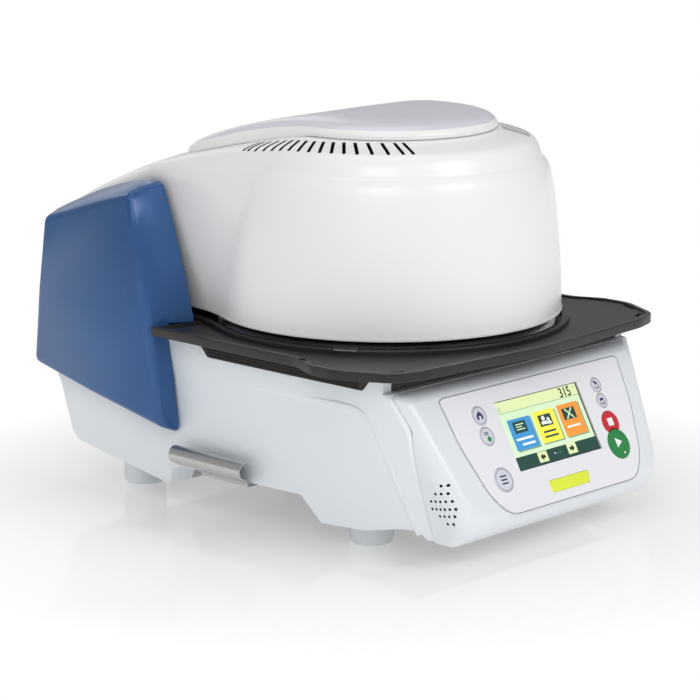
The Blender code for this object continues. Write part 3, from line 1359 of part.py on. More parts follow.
display_margin = 0.0549
display_half_width = overlay_half_width - display_margin
display_half_height = 0.0272
display_v = -0.0042
display_depth = 0.0070
window = box("display_window", (face_centre_u - display_half_width - fit_gap, display_v - display_half_height - fit_gap,
                                -pad_depth),
             (face_centre_u + display_half_width + fit_gap, display_v + display_half_height + fit_gap, pad_depth))
on_panel(window)
cut(control_housing, window)
cut(keypad_overlay, window)
display_module = box("display_module", (face_centre_u - display_half_width, display_v - display_half_height,
                                        -display_depth),
                     (face_centre_u + display_half_width, display_v + display_half_height, 0), screen)
frame_rim = 0.003
fuse(display_module, on_panel(box(
    "display_frame", (face_centre_u - display_half_width - frame_rim, display_v - display_half_height - frame_rim,
                      -display_depth),
    (face_centre_u + display_half_width + frame_rim, display_v + display_half_height + frame_rim,
     -pad_skin - fit_gap))))
on_panel(display_module)

bar_half_width = 0.0230
bar_half_height = 0.0046
bar_v = -0.0490
bar_depth = 0.0030
bar_hole = box("bar_hole", (face_centre_u - bar_half_width - fit_gap, bar_v - bar_half_height - fit_gap, -pad_depth),
               (face_centre_u + bar_half_width + fit_gap, bar_v + bar_half_height + fit_gap, pad_depth))
on_panel(bar_hole)
cut(control_housing, bar_hole)
cut(keypad_overlay, bar_hole)
status_bar = box("status_bar", (face_centre_u - bar_half_width, bar_v - bar_half_height, -bar_depth),
                 (face_centre_u + bar_half_width, bar_v + bar_half_height, fit_gap), light_bar)
on_panel(soften(status_bar, fit_gap * 2, 1))

# Seven keys, each a sprung cap in its own hole
key_proud = 0.0007
key_stem = 0.0034
key_clearance = 0.0004
key_sides = 18
menu_radius = 0.0072
program_radius = 0.0093
head_radius = 0.0058
stop_radius = 0.0092
start_radius = 0.0118
key_column_inset = 0.0344
left_column = face_centre_u - overlay_half_width + key_column_inset
right_column = face_centre_u + overlay_half_width - key_column_inset
# Each key: its column, its height as a share of the pad's half height, its radius and its colour
key_shares = [
    ("key_home", left_column, 0.244, menu_radius, key_grey),
    ("key_power_save", left_column, 0.003, menu_radius, key_grey),
    ("key_program", left_column, -0.503, program_radius, key_grey),
    ("key_head_open", right_column, 0.250, head_radius, key_grey),
    ("key_head_close", right_column, 0.059, head_radius, key_grey),
    ("key_stop", right_column, -0.207, stop_radius, key_red),
    ("key_start", right_column, -0.468, start_radius, key_green)]
start_v = key_shares[-1][2] * pad_half_height
for name, u, v_share, radius, look in key_shares:
    v = v_share * pad_half_height
    key = turned(name, [(0, key_proud), (radius * 0.9, key_proud), (radius, key_proud * 0.3), (radius, -key_stem),
                        (0, -key_stem)], (u, v, 0), look, key_sides)
    hole = rod(name + "_hole", radius + key_clearance, (u, v, -pad_depth), (u, v, pad_depth), sides=key_sides)
    if name == "key_stop":
        nearby = rod("start_outline", start_radius + 2 * key_clearance, (right_column, start_v, -2 * pad_depth),
                     (right_column, start_v, 2 * pad_depth), sides=key_sides)
        cut(key, on_panel(nearby))
    on_panel(key, hole)
    cut(control_housing, hole)
    cut(keypad_overlay, hole)

# Control board behind the display, on posts moulded on the housing
control_board_gap = 0.0120
control_board_inset = 0.022
control_board_half_width = unit_window_half_width - control_board_inset
control_board_low = -0.040
control_board_high = 0.034
post_radius = 0.003
post_inset = 0.0055
for u in (post_inset - control_board_half_width, control_board_half_width - post_inset):
    for v in (control_board_low + post_inset, control_board_high - post_inset):
        post = rod("board_post", post_radius, (u, v, -control_board_gap + fit_gap), (u, v, -pad_skin / 2),
                   sides=small_sides)
        fuse(control_housing, on_panel(post))
control_board = box("control_board", (-control_board_half_width, control_board_low,
                                      -control_board_gap - board_thickness),
                    (control_board_half_width, control_board_high, -control_board_gap), board_green)
on_panel(control_board)
chip_height = 0.006
# Processor, connector and memory, as shares of the board's half width and of its lower reach, and height
chip_shares = [(-0.313, 0.104, 0.500, -0.250, 0.500), (0.313, 0.625, 0.750, 0.250, 1.000),
               (-0.729, -0.521, 0.000, -0.500, 0.833)]
for low_share, high_share, start_share, stop_share, tall_share in chip_shares:
    chip = box("board_chip", (low_share * control_board_half_width, start_share * control_board_low,
                              -control_board_gap - board_thickness - tall_share * chip_height),
               (high_share * control_board_half_width, stop_share * control_board_low,
                -control_board_gap - board_thickness / 2))
    fuse(control_board, on_panel(chip))

# Tongs clip: one steel strip rolled into an open tube, its foot folded under the casing's edge
clip_wall = 0.0008
clip_radius = 0.0066
clip_stand = 0.0072
clip_height = 0.052
clip_centre = (-casing_half_width - clip_stand, clip_height)
clip_front_y = -0.017
clip_rear_y = 0.062
clip_foot_front = -0.012
clip_foot_rear = 0.040
clip_foot_top = 0.0378
clip_lip_drop = 0.011
clip_lip = (-casing_half_width + clip_wall / 4, clip_height - clip_lip_drop)
clip_bend = (-casing_half_width + clip_wall, clip_foot_top - clip_wall / 2)
clip_toe = (-casing_half_width + overrun, clip_foot_top - clip_wall / 2)


def ribbon(line, wall):
    """The outline of a strip of one thickness along an open line."""
    left = []
    right = []
    for i, here in enumerate(line):
        spot = Vector(here)
        before = (spot - Vector(line[i - 1])).normalized() if i > 0 else None
        after = (Vector(line[i + 1]) - spot).normalized() if i < len(line) - 1 else None
        before = before or after
        after = after or before
        across = Vector((-before.y - after.y, before.x + after.x))
        across *= wall / (1 + before.dot(after)) / 2
        left.append(tuple(spot + across))
        right.append(tuple(spot - across))
    return left + right[::-1]


clip_line = arc(clip_centre, clip_radius, 55, 245, 12) + [clip_lip, clip_bend, clip_toe]
tongs_clip = prism("tongs_clip", ribbon(clip_line, clip_wall), "Y", clip_front_y, clip_rear_y, steel)
for low_y, high_y in ((clip_front_y - overrun, clip_foot_front), (clip_foot_rear, clip_rear_y + overrun)):
    cut(tongs_clip, box("foot_end", (clip_lip[0] - clip_radius, low_y, 0), (0, high_y, clip_lip[1] + clip_wall)))
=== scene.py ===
"""Looks of a dental lab furnace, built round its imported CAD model.

Metres, +Z up, the operating unit faces -Y. The CAD nodes keep their places, and where a
node's facets would show, a finer piece of the same size stands for it.
"""
import json
import math

import bmesh
import bpy
from mathutils import Matrix, Vector

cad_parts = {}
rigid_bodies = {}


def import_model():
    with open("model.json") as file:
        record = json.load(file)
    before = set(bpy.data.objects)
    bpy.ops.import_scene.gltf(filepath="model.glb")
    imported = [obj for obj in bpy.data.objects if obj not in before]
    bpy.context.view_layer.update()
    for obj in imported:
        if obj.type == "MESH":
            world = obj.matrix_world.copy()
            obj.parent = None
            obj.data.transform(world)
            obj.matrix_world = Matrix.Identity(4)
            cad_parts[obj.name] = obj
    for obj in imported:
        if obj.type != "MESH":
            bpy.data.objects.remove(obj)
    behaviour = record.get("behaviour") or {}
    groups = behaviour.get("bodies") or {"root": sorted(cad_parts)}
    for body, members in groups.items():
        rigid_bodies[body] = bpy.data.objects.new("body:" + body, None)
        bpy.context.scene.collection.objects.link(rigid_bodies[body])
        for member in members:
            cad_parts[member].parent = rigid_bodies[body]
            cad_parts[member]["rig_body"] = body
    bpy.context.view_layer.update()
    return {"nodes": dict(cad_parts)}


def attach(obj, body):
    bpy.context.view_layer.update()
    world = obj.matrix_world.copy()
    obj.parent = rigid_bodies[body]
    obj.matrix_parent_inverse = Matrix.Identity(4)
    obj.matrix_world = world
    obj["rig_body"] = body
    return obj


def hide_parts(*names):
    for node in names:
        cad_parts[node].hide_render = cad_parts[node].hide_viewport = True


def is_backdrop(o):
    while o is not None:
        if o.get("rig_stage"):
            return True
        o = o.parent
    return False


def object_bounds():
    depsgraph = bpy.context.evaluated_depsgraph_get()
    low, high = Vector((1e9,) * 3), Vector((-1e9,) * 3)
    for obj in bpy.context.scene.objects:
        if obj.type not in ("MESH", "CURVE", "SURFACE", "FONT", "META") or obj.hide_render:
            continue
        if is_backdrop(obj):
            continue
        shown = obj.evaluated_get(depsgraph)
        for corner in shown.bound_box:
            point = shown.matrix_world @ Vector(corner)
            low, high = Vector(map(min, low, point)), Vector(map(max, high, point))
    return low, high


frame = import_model()
nodes = frame["nodes"]

# Camera: a long lens at the front left, a little above the furnace
camera_place = Vector((-1.57875, -1.49779, 0.60104))
camera_right = Vector((0.69214, -0.72176, 0.0))
camera_up = Vector((0.15575, 0.14936, 0.97645))
camera_data = bpy.data.cameras.new("camera")
camera_data.lens = 144
camera_data.sensor_width = 36
camera = bpy.data.objects.new("camera", camera_data)
bpy.context.scene.collection.objects.link(camera)
turn = Matrix((camera_right, camera_up, camera_right.cross(camera_up))).transposed()
camera.matrix_world = Matrix.Translation(camera_place) @ turn.to_4x4()
bpy.context.scene.camera = camera


def colour(code):
    """A hex sRGB colour as the linear values that Blender's sockets take."""
    parts = [int(code[i:i + 2], 16) / 255 for i in (1, 3, 5)]
    return (*[p / 12.92 if p <= 0.04045 else ((p + 0.055) / 1.055) ** 2.4 for p in parts], 1.0)


def add(material, kind, settings=(), inputs=()):
    """Add a shader node, set its fields and its sockets, and link sockets given another node's output."""
    made = material.node_tree.nodes.new(kind)
    for field, value in dict(settings).items():
        setattr(made, field, value)
    for socket, value in dict(inputs).items():
        if isinstance(value, bpy.types.NodeSocket):
            material.node_tree.links.new(value, made.inputs[socket])
        else:
            made.inputs[socket].default_value = value
    return made


def finish(name, code, roughness, metallic=0.0, **sockets):
    """A Principled material with the values that are the same all over."""
    made = bpy.data.materials.new(name)
    made.use_nodes = True
    shader = made.node_tree.nodes["Principled BSDF"]
    shader.inputs["Base Color"].default_value = colour(code)
    shader.inputs["Roughness"].default_value = roughness
    shader.inputs["Metallic"].default_value = metallic
    for socket, value in sockets.items():
        shader.inputs[socket.replace("_", " ")].default_value = value
    return made


def shader_of(material):
    return material.node_tree.nodes["Principled BSDF"]


def grain(material, scale, strength, distance=0.0002, stretch=(1, 1, 1), detail=4.0):
    """A fine bump from noise in the object's own metres."""
    place = add(material, "ShaderNodeTexCoord")
    spread = add(material, "ShaderNodeMapping", inputs={"Vector": place.outputs["Object"], "Scale": stretch})
    noise = add(material, "ShaderNodeTexNoise", inputs={"Vector": spread.outputs[0], "Scale": scale, "Detail": detail})
    bump = add(material, "ShaderNodeBump", inputs={
        "Height": noise.outputs["Fac"], "Strength": strength, "Distance": distance})
    material.node_tree.links.new(bump.outputs[0], shader_of(material).inputs["Normal"])
    return noise


def mottle(material, noise_scale, dark, light, socket="Base Color", stretch=(1, 1, 1)):
    """Let a noise run the colour, or a number such as roughness, between two values."""
    place = add(material, "ShaderNodeTexCoord")
    spread = add(material, "ShaderNodeMapping", inputs={"Vector": place.outputs["Object"], "Scale": stretch})
    noise = add(material, "ShaderNodeTexNoise", inputs={
        "Vector": spread.outputs[0], "Scale": noise_scale, "Detail": 5.0})
    if socket == "Base Color":
        ramp = add(material, "ShaderNodeValToRGB", inputs={"Fac": noise.outputs["Fac"]})
        ramp.color_ramp.elements[0].position = 0.35
        ramp.color_ramp.elements[1].position = 0.65
        ramp.color_ramp.elements[0].color = colour(dark)
        ramp.color_ramp.elements[1].color = colour(light)
        out = ramp.outputs["Color"]
    else:
        run = add(material, "ShaderNodeMapRange", inputs={
            "Value": noise.outputs["Fac"], "From Min": 0.3, "From Max": 0.7, "To Min": dark, "To Max": light})
        out = run.outputs["Result"]
    material.node_tree.links.new(out, shader_of(material).inputs[socket])


# Moulded plastics: glossy white head, satin casing, grey top cover, metallic blue covers
white = finish("white_moulding", "#F3F3F2", 0.32, Coat_Weight=0.25, Coat_Roughness=0.20)
grain(white, 900, 0.05, 0.00005)
mottle(white, 6, 0.315, 0.33, "Roughness")
casing_white = finish("casing_moulding", "#EEF3F6", 0.38, Coat_Weight=0.10, Coat_Roughness=0.25)
grain(casing_white, 2600, 0.10, 0.00004)
mottle(casing_white, 5, "#EBF1F5", "#F1F5F7")
unit_white = finish("operating_unit_moulding", "#EBEFF3", 0.30, Coat_Weight=0.20, Coat_Roughness=0.18)
grain(unit_white, 2200, 0.06, 0.00004)
mottle(unit_white, 7, 0.295, 0.31, "Roughness")
lid_grey = finish("top_cover_grey", "#DADAE1", 0.28, Coat_Weight=0.30, Coat_Roughness=0.12)
grain(lid_grey, 900, 0.05, 0.00005)
mottle(lid_grey, 4, "#D7D7DF", "#DDDDE3")
blue = finish("metallic_blue_lacquer", "#23568F", 0.36, 0.25, Coat_Weight=0.35, Coat_Roughness=0.22)
grain(blue, 3200, 0.18, 0.00003)
mottle(blue, 9, "#205189", "#275B95")

# Metals: black cooling plate, perforated grille, brushed clip, zinc-plated sheet, brass pinion
plate_black = finish("cooling_plate_black", "#1B1B1C", 0.40)
grain(plate_black, 3000, 0.30, 0.00006)
mottle(plate_black, 14, "#181718", "#201F21")
# The lip: a browner, lighter black than the plate's field, mottled
lip_brown = finish("cooling_plate_lip", "#3B372F", 0.34)
grain(lip_brown, 2400, 0.35, 0.00006)
mottle(lip_brown, 90, "#211E1A", "#37312A")
grille_black = finish("perforated_black", "#17181A", 0.55)
grain(grille_black, 1800, 0.20, 0.00005)
brushed = finish("brushed_clip_steel", "#C9C8C6", 0.24, 1.0)
grain(brushed, 60, 0.22, 0.00006, stretch=(60, 1, 60))
mottle(brushed, 40, 0.28, 0.42, "Roughness", stretch=(40, 1, 40))
ground_steel = finish("ground_shaft_steel", "#C4C4C4", 0.22, 1.0)
grain(ground_steel, 90, 0.15, 0.00004, stretch=(1, 30, 30))
zinc = finish("zinc_plated_sheet", "#B9BBBD", 0.36, 1.0)
grain(zinc, 700, 0.10, 0.00004)
mottle(zinc, 60, "#AEB1B4", "#C3C5C6")
brass = finish("machined_brass", "#C9A760", 0.28, 1.0)
grain(brass, 120, 0.15, 0.00004, stretch=(1, 20, 20))
wire_dark = finish("oxidised_heating_wire", "#5A4B42", 0.55, 0.7)
mottle(wire_dark, 300, "#4A3E38", "#6E5A4C")
grain(wire_dark, 1500, 0.25, 0.00005)

# Ceramics, rubber, board, and a dark moulding colour that also paints shade
fibre = finish("ceramic_fibre", "#ECE9E2", 0.95)
grain(fibre, 500, 0.9, 0.0006)
mottle(fibre, 60, "#E4E0D7", "#F2F0EA")
fired = finish("fired_ceramic", "#DCD2C2", 0.85)
grain(fired, 900, 0.5, 0.0002)
mottle(fired, 90, "#D2C6B3", "#E4DCCE")
quartz = finish("milky_quartz", "#E4E4E6", 0.22, Coat_Weight=0.4, Subsurface_Weight=0.15)
mottle(quartz, 70, "#DCDCE0", "#ECECEE")
grain(quartz, 200, 0.10, 0.0001)
foot_rubber = finish("pale_rubber", "#EFF3F5", 0.62)
grain(foot_rubber, 1400, 0.35, 0.0001)
mottle(foot_rubber, 40, "#E8EDF0", "#F3F6F8")
board = finish("solder_mask_green", "#1F6B3C", 0.38, Coat_Weight=0.3)
mottle(board, 260, "#185A31", "#2A7D49")
grain(board, 1200, 0.15, 0.00005)
# Dark moulding colour for the dark parts, also used as painted shade in the hood slots, the speaker holes, the screw
# recesses and on the casing strip under the cooling plate
dark = finish("dark_moulding_and_painted_shade", "#1C1C1F", 0.48)
grain(dark, 2200, 0.35, 0.00006)
mottle(dark, 30, "#19191B", "#222226")

# Studio: a white floor that mirrors the furnace faintly and fades into a white surround, with soft lamps
world = bpy.data.worlds.new("studio")
bpy.context.scene.world = world
world.use_nodes = True
surround = world.node_tree.nodes["Background"]
seen = world.node_tree.nodes.new("ShaderNodeLightPath")
pick = world.node_tree.nodes.new("ShaderNodeMix")
pick.data_type = "RGBA"
pick.inputs["A"].default_value = (0.41, 0.415, 0.42, 1.0)
pick.inputs["B"].default_value = (1.0, 1.0, 1.0, 1.0)
world.node_tree.links.new(seen.outputs["Is Camera Ray"], pick.inputs["Factor"])
world.node_tree.links.new(pick.outputs["Result"], surround.inputs["Color"])
surround.inputs["Strength"].default_value = 1.0
bpy.context.scene.view_settings.view_transform = "Standard"

floor_white = finish("studio_floor", "#FFFFFF", 0.09, Specular_IOR_Level=0.45)
mottle(floor_white, 2, "#FCFCFD", "#FFFFFF")
place = add(floor_white, "ShaderNodeNewGeometry")
reach = add(floor_white, "ShaderNodeVectorMath", {"operation": "LENGTH"})
floor_white.node_tree.links.new(place.outputs["Position"], reach.inputs[0])
fade = add(floor_white, "ShaderNodeMapRange", inputs={
    "Value": reach.outputs["Value"], "From Min": 0.19, "From Max": 0.40, "To Min": 0.28, "To Max": 1.0})
glow = add(floor_white, "ShaderNodeEmission", inputs={"Color": (1.0, 1.0, 1.0, 1.0), "Strength": 1.0})
blend = add(floor_white, "ShaderNodeMixShader")
links = floor_white.node_tree.links
links.new(fade.outputs["Result"], blend.inputs[0])
links.new(shader_of(floor_white).outputs[0], blend.inputs[1])
links.new(glow.outputs[0], blend.inputs[2])
links.new(blend.outputs[0], floor_white.node_tree.nodes["Material Output"].inputs["Surface"])
bm = bmesh.new()
bmesh.ops.create_grid(bm, x_segments=2, y_segments=2, size=6.0)
floor_mesh = bpy.data.meshes.new("studio_floor")
bm.to_mesh(floor_mesh)
bm.free()
floor_mesh.materials.append(floor_white)
floor = bpy.data.objects.new("studio_floor", floor_mesh)
floor.location.z = -0.0002
bpy.context.scene.collection.objects.link(floor)
floor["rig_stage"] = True

softboxes = [
    ("key", (-1.5, -1.1, 1.3), (0.9, 0.9), 9),
    ("front", (0.2, -2.0, 1.5), (1.0, 0.8), 13),
    ("overhead", (-0.1, 0.1, 1.9), (1.4, 1.2), 6),
    ("rear", (0.7, 1.6, 0.9), (1.2, 0.8), 2)]
for name, place, size, power in softboxes:
    lamp = bpy.data.lights.new(name, "AREA")
    lamp.shape = "RECTANGLE"
    lamp.size, lamp.size_y = size
    lamp.energy = power
    lit = bpy.data.objects.new(name, lamp)
    lit.location = place
    lit.rotation_euler = (Vector((0, 0, 0.15)) - Vector(place)).to_track_quat("-Z", "Y").to_euler()
    bpy.context.scene.collection.objects.link(lit)


def piece_from(name, bm, *materials):
    """A new mesh object with its materials, its faces turned outward."""
    mesh = bpy.data.meshes.new(name)
    bmesh.ops.recalc_face_normals(bm, faces=bm.faces)
    bm.to_mesh(mesh)
    bm.free()
    for material in materials:
        mesh.materials.append(material)
    made = bpy.data.objects.new(name, mesh)
    bpy.context.scene.collection.objects.link(made)
    return made


def stand_for(piece, node):
    """Hide a CAD node behind the piece, which rides on the node's body."""
    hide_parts(node)
    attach(piece, nodes[node]["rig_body"])
    return piece


def smooth(piece, angle=35):
    piece.data.shade_smooth()
    piece.data.set_sharp_from_angle(angle=math.radians(angle))
    return piece


def weighted(piece):
    """Let large faces keep their own direction in the shading, and round only the small ones between them."""
    step = piece.modifiers.new("weighted", "WEIGHTED_NORMAL")
    step.keep_sharp = True
    return piece


def bevel(piece, width, segments=3, angle=30):
    step = piece.modifiers.new("edge", "BEVEL")
    step.width = width
    step.segments = segments
    step.limit_method = "ANGLE"
    step.angle_limit = math.radians(angle)
    step.harden_normals = True
    return piece


def applied(piece):
    """Replace a piece's mesh by what its modifiers make of it."""
    shown = piece.evaluated_get(bpy.context.evaluated_depsgraph_get())
    made = bpy.data.meshes.new_from_object(shown)
    piece.modifiers.clear()
    piece.data = made
    return piece


def carve(piece, cutter, operation="DIFFERENCE", crossed=False):
    """Cut a piece with another one, or join the two, and remove the tool."""
    step = piece.modifiers.new("carve", "BOOLEAN")
    step.operation = operation
    step.solver = "EXACT"
    step.use_self = crossed
    step.object = cutter
    if cutter.data.materials:
        step.material_mode = "TRANSFER"
    applied(piece)
    bpy.data.objects.remove(cutter, do_unlink=True)
    return piece


def refined(node, material, width=0.0, segments=3, angle=35, suffix="_surface"):
    """A finer copy of a CAD node: flat faces rejoined, edges softened and curves shaded smooth."""
    bm = bmesh.new()
    bm.from_mesh(nodes[node].data)
    bmesh.ops.remove_doubles(bm, verts=bm.verts, dist=0.00001)
    bmesh.ops.dissolve_limit(bm, angle_limit=math.radians(0.6), verts=bm.verts, edges=bm.edges)
    made = smooth(piece_from(node + suffix, bm, material), angle)
    if width:
        bevel(made, width, segments, angle)
    return stand_for(made, node)


# Nodes whose CAD shape is kept, with an edge radius and a smooth finish
kept_shapes = [
    ("foot_front_left", foot_rubber, 0.0), ("foot_front_right", foot_rubber, 0.0),
    ("foot_rear_left", foot_rubber, 0.0), ("foot_rear_right", foot_rubber, 0.0),
    ("rear_panel", zinc, 0.0002), ("mains_inlet", dark, 0.0005), ("pump_socket", dark, 0.0005),
    ("switch_housing", dark, 0.0004), ("power_switch", dark, 0.0004), ("fuse_holders", dark, 0.0003),
    ("service_port", zinc, 0.0002), ("vacuum_valve", zinc, 0.0004), ("fan_frame", dark, 0.0003),
    ("fan_rotor", dark, 0.0003), ("hinge_shaft", ground_steel, 0.0004), ("hinge_arm_left", zinc, 0.0003),
    ("hinge_arm_right", zinc, 0.0003), ("hinge_bracket_left", zinc, 0.0003), ("hinge_bracket_right", zinc, 0.0003),
    ("drive_sector", zinc, 0.0001), ("drive_pinion", brass, 0.0001), ("gear_motor", zinc, 0.0004),
    ("sealing_plate", ground_steel, 0.0003), ("firing_table", fired, 0.0004), ("base_insulation", fibre, 0.0005),
    ("head_flange", zinc, 0.0003), ("head_gasket", fibre, 0.0005), ("muffle", quartz, 0.0005),
    ("insulation_ring", fibre, 0.0006), ("insulation_cap", fibre, 0.0006), ("thermocouple", ground_steel, 0.0),
    ("heating_coil", wire_dark, 0.0), ("power_board", board, 0.0002), ("control_board", board, 0.0002),
    ("tongs_clip", brushed, 0.0)]
for node, material, width in kept_shapes:
    refined(node, material, width)

# The head's measures, the same as in the CAD model
head_centre_y = -0.025
hood_radius = 0.136
hood_bottom = 0.160
hood_rise = 0.144
seam_y = 0.120
waist_angle = 25
hinge_y, hinge_z = 0.185, 0.175


def arc(centre, radius, start, end, steps):
    turns = [math.radians(start + (end - start) * i / steps) for i in range(steps + 1)]
    return [Vector((centre[0] + radius * math.cos(t), centre[1] + radius * math.sin(t))) for t in turns]


def between(rows, steps):
    """Catmull-Rom between rows of numbers, so that a few measured rows give a smooth form."""
    out = []
    last = len(rows) - 1
    for i in range(last):
        p0, p1, p2, p3 = (rows[max(0, min(last, i + k))] for k in (-1, 0, 1, 2))
        for k in range(steps):
            t = k / steps
            out.append([0.5 * (2 * b + (c - a) * t + (2 * a - 5 * b + 4 * c - d) * t * t
                               + (3 * b - a - 3 * c + d) * t ** 3) for a, b, c, d in zip(p0, p1, p2, p3)])
    out.append(list(rows[last]))
    return out


def cubic(p0, p1, p2, p3, steps):
    out = []
    for k in range(steps + 1):
        t = k / steps
        s = 1 - t
        out.append(p0 * s ** 3 + p1 * 3 * s * s * t + p2 * 3 * s * t * t + p3 * t ** 3)
    return out


def head_plan(radius, rear_half, rear_y, waist, front_steps=60, side_steps=24):
    """Half the head's plan: a round front, then a side that may be waisted behind it."""
    centre = Vector((0, head_centre_y))
    rear = Vector((rear_half, rear_y))
    way = rear - centre
    touch = math.degrees(math.atan2(way.y, way.x) - math.acos(min(1, radius / way.length)))
    last = touch + (waist_angle - touch) * waist
    front = arc(centre, radius, -90, last, front_steps)
    start = front[-1]
    turn = math.radians(last)
    waisted_1 = start + Vector((-math.sin(turn), math.cos(turn))) * hood_radius * 0.22
    waisted_2 = rear - Vector((0, hood_radius * 0.33))
    side = cubic(start, start.lerp(rear, 1 / 3).lerp(waisted_1, waist),
                 start.lerp(rear, 2 / 3).lerp(waisted_2, waist), rear, side_steps)
    return front + side[1:]


def fall(y, rear_y, power=1.15):
    return max(0, (y - head_centre_y) / (rear_y - head_centre_y)) ** power


def skin(name, rows, wall, *materials, edge_rows=0):
    """A half skin over rows of points, mirrored across X = 0 and given a wall inward."""
    bm = bmesh.new()
    made_rows = [[bm.verts.new(p) for p in row] for row in rows]
    for j, (below, above) in enumerate(zip(made_rows, made_rows[1:])):
        for i in range(len(below) - 1):
            face = bm.faces.new((below[i], below[i + 1], above[i + 1], above[i]))
            face.material_index = 1 if j < edge_rows else 0
    bmesh.ops.remove_doubles(bm, verts=bm.verts, dist=0.00001)
    made = piece_from(name, bm, *materials)
    if sum(p.normal.dot(p.center - Vector((0, 0, 0.1))) for p in made.data.polygons) < 0:
        made.data.flip_normals()
    mirror = made.modifiers.new("mirror", "MIRROR")
    mirror.merge_threshold = 0.00001
    solid = made.modifiers.new("wall", "SOLIDIFY")
    solid.thickness = wall
    solid.offset = -1
    return applied(made)


# Hood: measured rows of radius, height, half width and height at the seam, and waist
hood_shares = [
    (1.000, 0.000, 0.801, 0.000, 1.00), (1.002, 0.021, 0.807, 0.021, 1.00),
    (0.995, 0.215, 0.835, 0.201, 0.85), (0.980, 0.417, 0.855, 0.375, 0.70),
    (0.960, 0.597, 0.865, 0.542, 0.50), (0.941, 0.712, 0.868, 0.646, 0.40),
    (0.924, 0.778, 0.870, 0.690, 0.35), (0.900, 0.817, 0.872, 0.716, 0.30),
    (0.882, 0.8375, 0.868, 0.735, 0.25), (0.865, 0.882, 0.852, 0.756, 0.20),
    (0.838, 0.924, 0.820, 0.768, 0.15), (0.798, 0.946, 0.765, 0.777, 0.10),
    (0.713, 0.967, 0.640, 0.787, 0.00), (0.632, 0.985, 0.450, 0.797, 0.00),
    (0.544, 0.997, 0.160, 0.806, 0.00)]
hood_rows = []
for radius, front_z, rear_half, rear_z, waist in between(hood_shares, 5):
    plan = head_plan(radius * hood_radius, rear_half * hood_radius, seam_y, waist)
    drop = (front_z - rear_z) * hood_rise
    hood_rows.append([(p.x, p.y, hood_bottom + front_z * hood_rise - drop * fall(p.y, seam_y, 1.5)) for p in plan])
hood_rows.append([(0, y, z) for x, y, z in hood_rows[-1]])
hood = skin("head_hood_shell", hood_rows, 0.0015, white)


def hinge_drum(radius):
    """A drum round the hinge axis, the surface along which the head and the base part."""
    drum = bmesh.new()
    bmesh.ops.create_cone(drum, cap_ends=True, segments=160, radius1=radius, radius2=radius, depth=0.3)
    bmesh.ops.rotate(drum, matrix=Matrix.Rotation(math.pi / 2, 3, "Y"), verts=drum.verts)
    bmesh.ops.translate(drum, vec=(0, hinge_y, hinge_z), verts=drum.verts)
    return piece_from("hinge_drum", drum)


cheeks = hood.copy()
cheeks.data = hood.data.copy()
cheeks.name = "rear_cheeks"
bpy.context.scene.collection.objects.link(cheeks)
carve(hood, hinge_drum(0.103), crossed=True)
carve(cheeks, hinge_drum(0.1025), "INTERSECT", crossed=True)
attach(smooth(cheeks, 32), nodes["rear_cover"]["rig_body"])

# Vent slots: where each lies round the head's centre, how far out, which way it points and its length
slot_rows = [(38.3, 0.0988, 25.5, 0.0223), (60.9, 0.0995, 41.5, 0.0221), (81.4, 0.1014, 59.6, 0.0206),
             (99.1, 0.1045, 79.7, 0.0196), (113.8, 0.1130, 96.0, 0.0170)]
slots = bmesh.new()
for side in (-1, 1):
    for turn, radius, lean, length in between(slot_rows, 4):
        middle = Matrix.Rotation(side * math.radians(turn), 3, "Z") @ Vector((0, -radius, 0.294))
        made = bmesh.ops.create_cube(slots, size=1.0)["verts"]
        bmesh.ops.scale(slots, vec=(0.0027, length, 0.030), verts=made)
        bmesh.ops.rotate(slots, matrix=Matrix.Rotation(side * math.radians(lean), 3, "Z"), verts=made)
        bmesh.ops.translate(slots, vec=middle + Vector((0, head_centre_y, 0)), verts=made)
# The cut walls of the slots take the dark moulding colour: painted shade inside the vents
carve(hood, piece_from("hood_slots", slots, dark))
stand_for(smooth(hood, 32), "head_hood")

# Top cover of the head: grey on top, with a white edge that turns down to the hood
lid_shares = [
    (84.0, 302.7, 96.0, 113.0, 274.6, 1.25), (85.0, 304.7, 97.0, 114.0, 276.6, 1.25),
    (84.6, 306.9, 96.5, 113.5, 278.6, 1.38), (82.0, 310.0, 94.0, 111.0, 281.4, 1.70),
    (77.8, 312.5, 89.0, 107.0, 284.0, 1.95), (70.7, 314.2, 81.0, 99.0, 286.6, 2.00),
    (56.0, 315.8, 62.0, 82.0, 290.6, 2.00), (32.0, 316.6, 36.0, 52.0, 301.0, 2.00)]
lid_rows = []
for radius, front_z, half, tip, tip_z, power in between(lid_shares, 5):
    radius, front_z, half, tip, tip_z = (v / 1000 for v in (radius, front_z, half, tip, tip_z))
    reach = tip - head_centre_y
    front = arc((0, head_centre_y), radius, -90, 0, 50)
    corner = Vector((half, tip - 0.25 * reach))
    side = cubic(front[-1], front[-1] + Vector((0, 0.25 * reach)), corner - Vector((0, 0.25 * reach)), corner, 20)
    end = cubic(corner, Vector((half, tip - 0.01 * reach)), Vector((half * 0.98, tip)), Vector((0, tip)), 24)
    lid_rows.append([(p.x, p.y, front_z - (front_z - tip_z) * fall(p.y, tip, power)) for p in front + side[1:] + end[1:]])
crown_end = lid_rows[-1][-1]
crown_top = 0.3170
lid_rows.append([(0, y, crown_top - (crown_top - crown_end[2]) * fall(y, crown_end[1]) ** 1.7) for x, y, z in lid_rows[-1]])
lid = skin("hood_top_cover_shell", lid_rows, 0.0018, lid_grey, white, edge_rows=14)
stand_for(smooth(lid, 40), "hood_top_cover")

